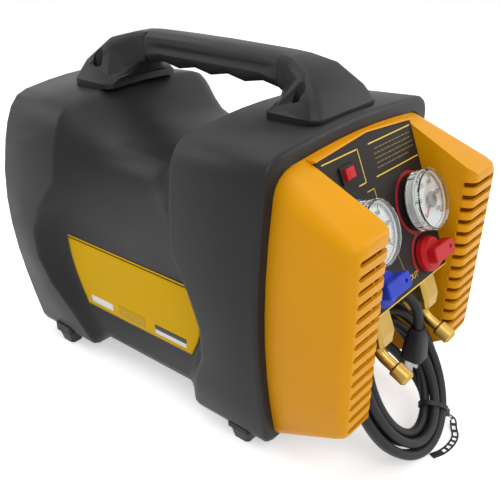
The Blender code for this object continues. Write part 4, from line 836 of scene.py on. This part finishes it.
def build_cord():
    """The mains cord, with its tie and its plug."""
    points = cord_route()
    cord = add_spline("mains_cord", points, CORD_RADIUS, "rubber_black")
    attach(cord, "housing")
    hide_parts("power_cord", "cord_coil", "plug_lead")
    tie = build_tie()
    build_plug()


# The print on the panel
def panel_sheet(name, outlines, material, x=0.0, down=0.0, out=PRINT_LIFT):
    """Flat shapes in the panel's frame, a hair above what carries them."""
    points = []
    faces = []
    for outline in outlines:
        faces.append(tuple(range(len(points), len(points) + len(outline))))
        points += [(px, -py, 0.0) for px, py in outline]
    mesh = bpy.data.meshes.new(name)
    mesh.from_pydata(points, [], faces)
    edit = bmesh.new()
    edit.from_mesh(mesh)
    for face in edit.faces:
        if face.normal.z < 0:
            face.normal_flip()
    edit.to_mesh(mesh)
    edit.free()
    obj = link_mesh(name, mesh)
    obj.matrix_world = panel_matrix(x, down, out)
    return finish_object(obj, material)


def line_shape(a, b, width=PRINT_LINE):
    """The rectangle of a printed line from one (across, down) point to another."""
    ahead = Vector(b) - Vector(a)
    across = Vector((-ahead.y, ahead.x)).normalized() * width / 2
    end = ahead.normalized() * width / 2
    corners = (
        Vector(a) - end + across,
        Vector(a) - end - across,
        Vector(b) + end - across,
        Vector(b) + end + across,
    )
    return [tuple(c) for c in corners]


def path_shapes(points, width=PRINT_LINE):
    """The rectangles of a printed line through the points."""
    return [line_shape(a, b, width) for a, b in zip(points, points[1:])]


def arc_shape(radius, width, start, end, steps=40):
    """A ring or part of one, as a row of four-sided shapes."""
    inner = radius - width / 2
    outer = radius + width / 2
    shapes = []
    for i in range(steps):
        a = math.radians(start + (end - start) * i / steps)
        b = math.radians(start + (end - start) * (i + 1) / steps)
        shapes.append([polar(inner, a), polar(outer, a), polar(outer, b), polar(inner, b)])
    return shapes


def broken_rule(down, start, end, step):
    """A row of dashes of changing length."""
    shapes = []
    x = start
    while x < end:
        width = DASHES[step % len(DASHES)]
        shapes.append(line_shape((x, down), (min(x + width, end), down), DASH_LINE))
        x += width + DASH_GAP
        step += 1
    return shapes


def words(name, text, size, material, x, down, out=PRINT_LIFT):
    """A generic word or a number, centred at a place of the panel's frame."""
    curve = bpy.data.curves.new(name, "FONT")
    curve.body = text
    curve.size = size
    curve.align_x = "CENTER"
    curve.align_y = "CENTER"
    curve.materials.append(MATERIALS[material])
    obj = bpy.data.objects.new(name, curve)
    bpy.context.collection.objects.link(obj)
    obj.matrix_world = panel_matrix(x, down, out)
    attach(obj, "housing")
    return obj


def build_print():
    """The panel's lines, broken rules, coloured arcs and two words."""
    lines = path_shapes(SWITCH_FRAME)
    lines += [line_shape(a, b) for a, b in RULED_LINES]
    lines += path_shapes(SWITCH_MARK, FINE_LINE)
    panel_sheet("panel_lines", lines, "print_yellow")
    rules = []
    for rule in BROKEN_RULES:
        rules += broken_rule(*rule)
    panel_sheet("panel_rules", rules, "print_dim")
    panel_sheet("panel_edge", [line_shape(*PANEL_EDGE, PANEL_EDGE_LINE)], "print_yellow")
    for word, side, finish in (("inlet", -1, "print_blue"), ("outlet", 1, "print_red")):
        panel_sheet(f"{word}_gauge_ring", arc_shape(*GAUGE_ARC), finish, side * GAUGE_X, GAUGE_DOWN)
        panel_sheet(f"{word}_knob_ring", arc_shape(*KNOB_ARC), finish, side * KNOB_X, KNOB_DOWN)
    words("word_out", "OUT", WORD_SIZE, "print_yellow", WORD_X, WORD_DOWN)
    words("word_in", "IN", WORD_SIZE, "print_yellow", -WORD_X, WORD_DOWN)
    panel_sheet("flow_line", [line_shape(*FLOW_LINE, FINE_LINE)], "print_dim")


# The gauges
def scale_angle(step, steps):
    return math.radians(SCALE_START + SCALE_SWEEP * step / steps)


def tick_shapes():
    """The scale's long ticks, and then its short ones."""
    long_ticks = []
    short_ticks = []
    for i in range(SCALE_STEPS + 1):
        angle = scale_angle(i, SCALE_STEPS)
        end = polar(DIAL_RADIUS * TICK_END, angle)
        if i % LONG_TICK_EVERY == 0:
            start = polar(DIAL_RADIUS * LONG_TICK_START, angle)
            long_ticks.append(line_shape(start, end, LONG_TICK_LINE))
        else:
            start = polar(DIAL_RADIUS * SHORT_TICK_START, angle)
            short_ticks.append(line_shape(start, end, SHORT_TICK_LINE))
    return long_ticks + short_ticks


def build_dials():
    """Each gauge's scale, coloured mark and figures, its needle's hub and the ring round its dial."""
    face = DIAL_LEVEL + DIAL_LIFT
    scale_ends = (SCALE_START, SCALE_START + SCALE_SWEEP)
    scale = arc_shape(DIAL_RADIUS * SCALE_ARC_SHARE, SCALE_ARC_LINE, *scale_ends, SCALE_ARC_STEPS)
    mark = arc_shape(DIAL_RADIUS * MARK_SHARE, MARK_LINE, *MARK_ANGLES, MARK_STEPS)
    for word, side in (("inlet", -1), ("outlet", 1)):
        x = side * GAUGE_X
        panel_sheet(f"{word}_ticks", tick_shapes(), "print_black", x, GAUGE_DOWN, face)
        panel_sheet(f"{word}_scale", scale, "print_black", x, GAUGE_DOWN, face)
        panel_sheet(f"{word}_mark", mark, "bezel_orange", x, GAUGE_DOWN, face)
        for i in range(FIGURE_STEPS + 1):
            across, down = polar(DIAL_RADIUS * FIGURE_SHARE, scale_angle(i, FIGURE_STEPS))
            place = (x + across, GAUGE_DOWN + down, face)
            words(f"{word}_figure_{i}", str(i * FIGURE_WORTH), FIGURE_SIZE, "print_black", *place)
        cap = turned_piece(f"{word}_hub", HUB_PROFILE, HUB_SIDES)
        cap.matrix_world = panel_matrix(x, GAUGE_DOWN, HUB_LEVEL)
        finish_object(cap, "hub_grey", f"{word}_needle")
        rim = turned_piece(f"{word}_bezel_ring", RIM_PROFILE, RIM_SIDES, closed=True)
        rim.matrix_world = panel_matrix(x, GAUGE_DOWN, DIAL_LEVEL + RIM_LIFT)
        finish_object(rim, "dial_white")


# The plate on the left side
def side_surface():
    mesh = nodes["case_shell"].data
    return BVHTree.FromPolygons([v.co for v in mesh.vertices], [tuple(p.vertices) for p in mesh.polygons])


def outline_ends(z, outline):
    """Where the outline crosses this height, as the lowest and highest y."""
    found = []
    for (y1, z1), (y2, z2) in zip(outline, outline[1:] + outline[:1]):
        if (z1 - z) * (z2 - z) <= 0 and z1 != z2:
            found.append(y1 + (y2 - y1) * (z - z1) / (z2 - z1))
    return min(found), max(found)


def side_sheet(name, outline, low, high, lift, material, tree, columns=60, rows=20):
    """A thin sheet that lies on the case's left side inside the outline."""
    points = []
    for row in range(rows + 1):
        z = low + (high - low) * row / rows
        start, end = outline_ends(min(max(z, low + SHEET_INSET), high - SHEET_INSET), outline)
        for column in range(columns + 1):
            y = start + (end - start) * column / columns + SHIFT
            hit = tree.ray_cast(Vector((OUTSIDE_X, y, z)), Vector((1, 0, 0)))[0]
            points.append((hit.x - lift, y, z))
    faces = []
    wide = columns + 1
    for row in range(rows):
        for column in range(columns):
            a = row * wide + column
            faces.append((a, a + 1, a + wide + 1, a + wide))
    mesh = bpy.data.meshes.new(name)
    mesh.from_pydata(points, [], faces)
    mesh.shade_smooth()
    obj = link_mesh(name, mesh)
    solid = obj.modifiers.new("Sheet", "SOLIDIFY")
    solid.thickness = SHEET_THICK
    solid.offset = 0.0
    return finish_object(obj, material)


def build_label():
    """A bare yellow plate on the left side, with a rule above and below it and empty fields on its foot."""
    tree = side_surface()
    top_rule = (PLATE_OUTLINE, *TOP_RULE_LEVELS, PLATE_LIFT, "label_yellow", tree, *RULE_GRID)
    foot_rule = (PLATE_OUTLINE, *FOOT_RULE_LEVELS, PLATE_LIFT, "print_black", tree, *RULE_GRID)
    side_sheet("label_plate", PLATE_OUTLINE, *PLATE_LEVELS, PLATE_LIFT, "label_yellow", tree)
    side_sheet("label_top_rule", *top_rule)
    side_sheet("label_foot_rule", *foot_rule)
    for name, start, end, low, high, finish in PLATE_FIELDS:
        box = ((start, high), (end, high), (end, low), (start, low))
        side_sheet(name, box, low, high, FIELD_LIFT, finish, tree, *FIELD_GRID)


add_camera()
light_studio()
dress_nodes()
build_cord()
skin("case_shell", angle=40)
skin("front_bezel", width=0.0007, angle=32)
skin("rear_cover", width=0.0006)
skin("strain_relief", angle=40)
for end in ("front", "rear"):
    skin(f"handle_mount_{end}", width=0.0009, angle=28)
    for side in ("left", "right"):
        skin(f"foot_{end}_{side}", width=0.0010)
skin("handle_grip", angle=40)
for word in ("inlet", "outlet"):
    skin(f"{word}_valve_knob", body=f"{word}_knob", width=0.0005, angle=30)
    skin(f"{word}_port_cap", width=0.0003, angle=30)
    skin(f"{word}_valve_block", width=0.0006, angle=25)
    skin(f"{word}_port_elbow", angle=40)
build_print()
build_dials()
build_label()
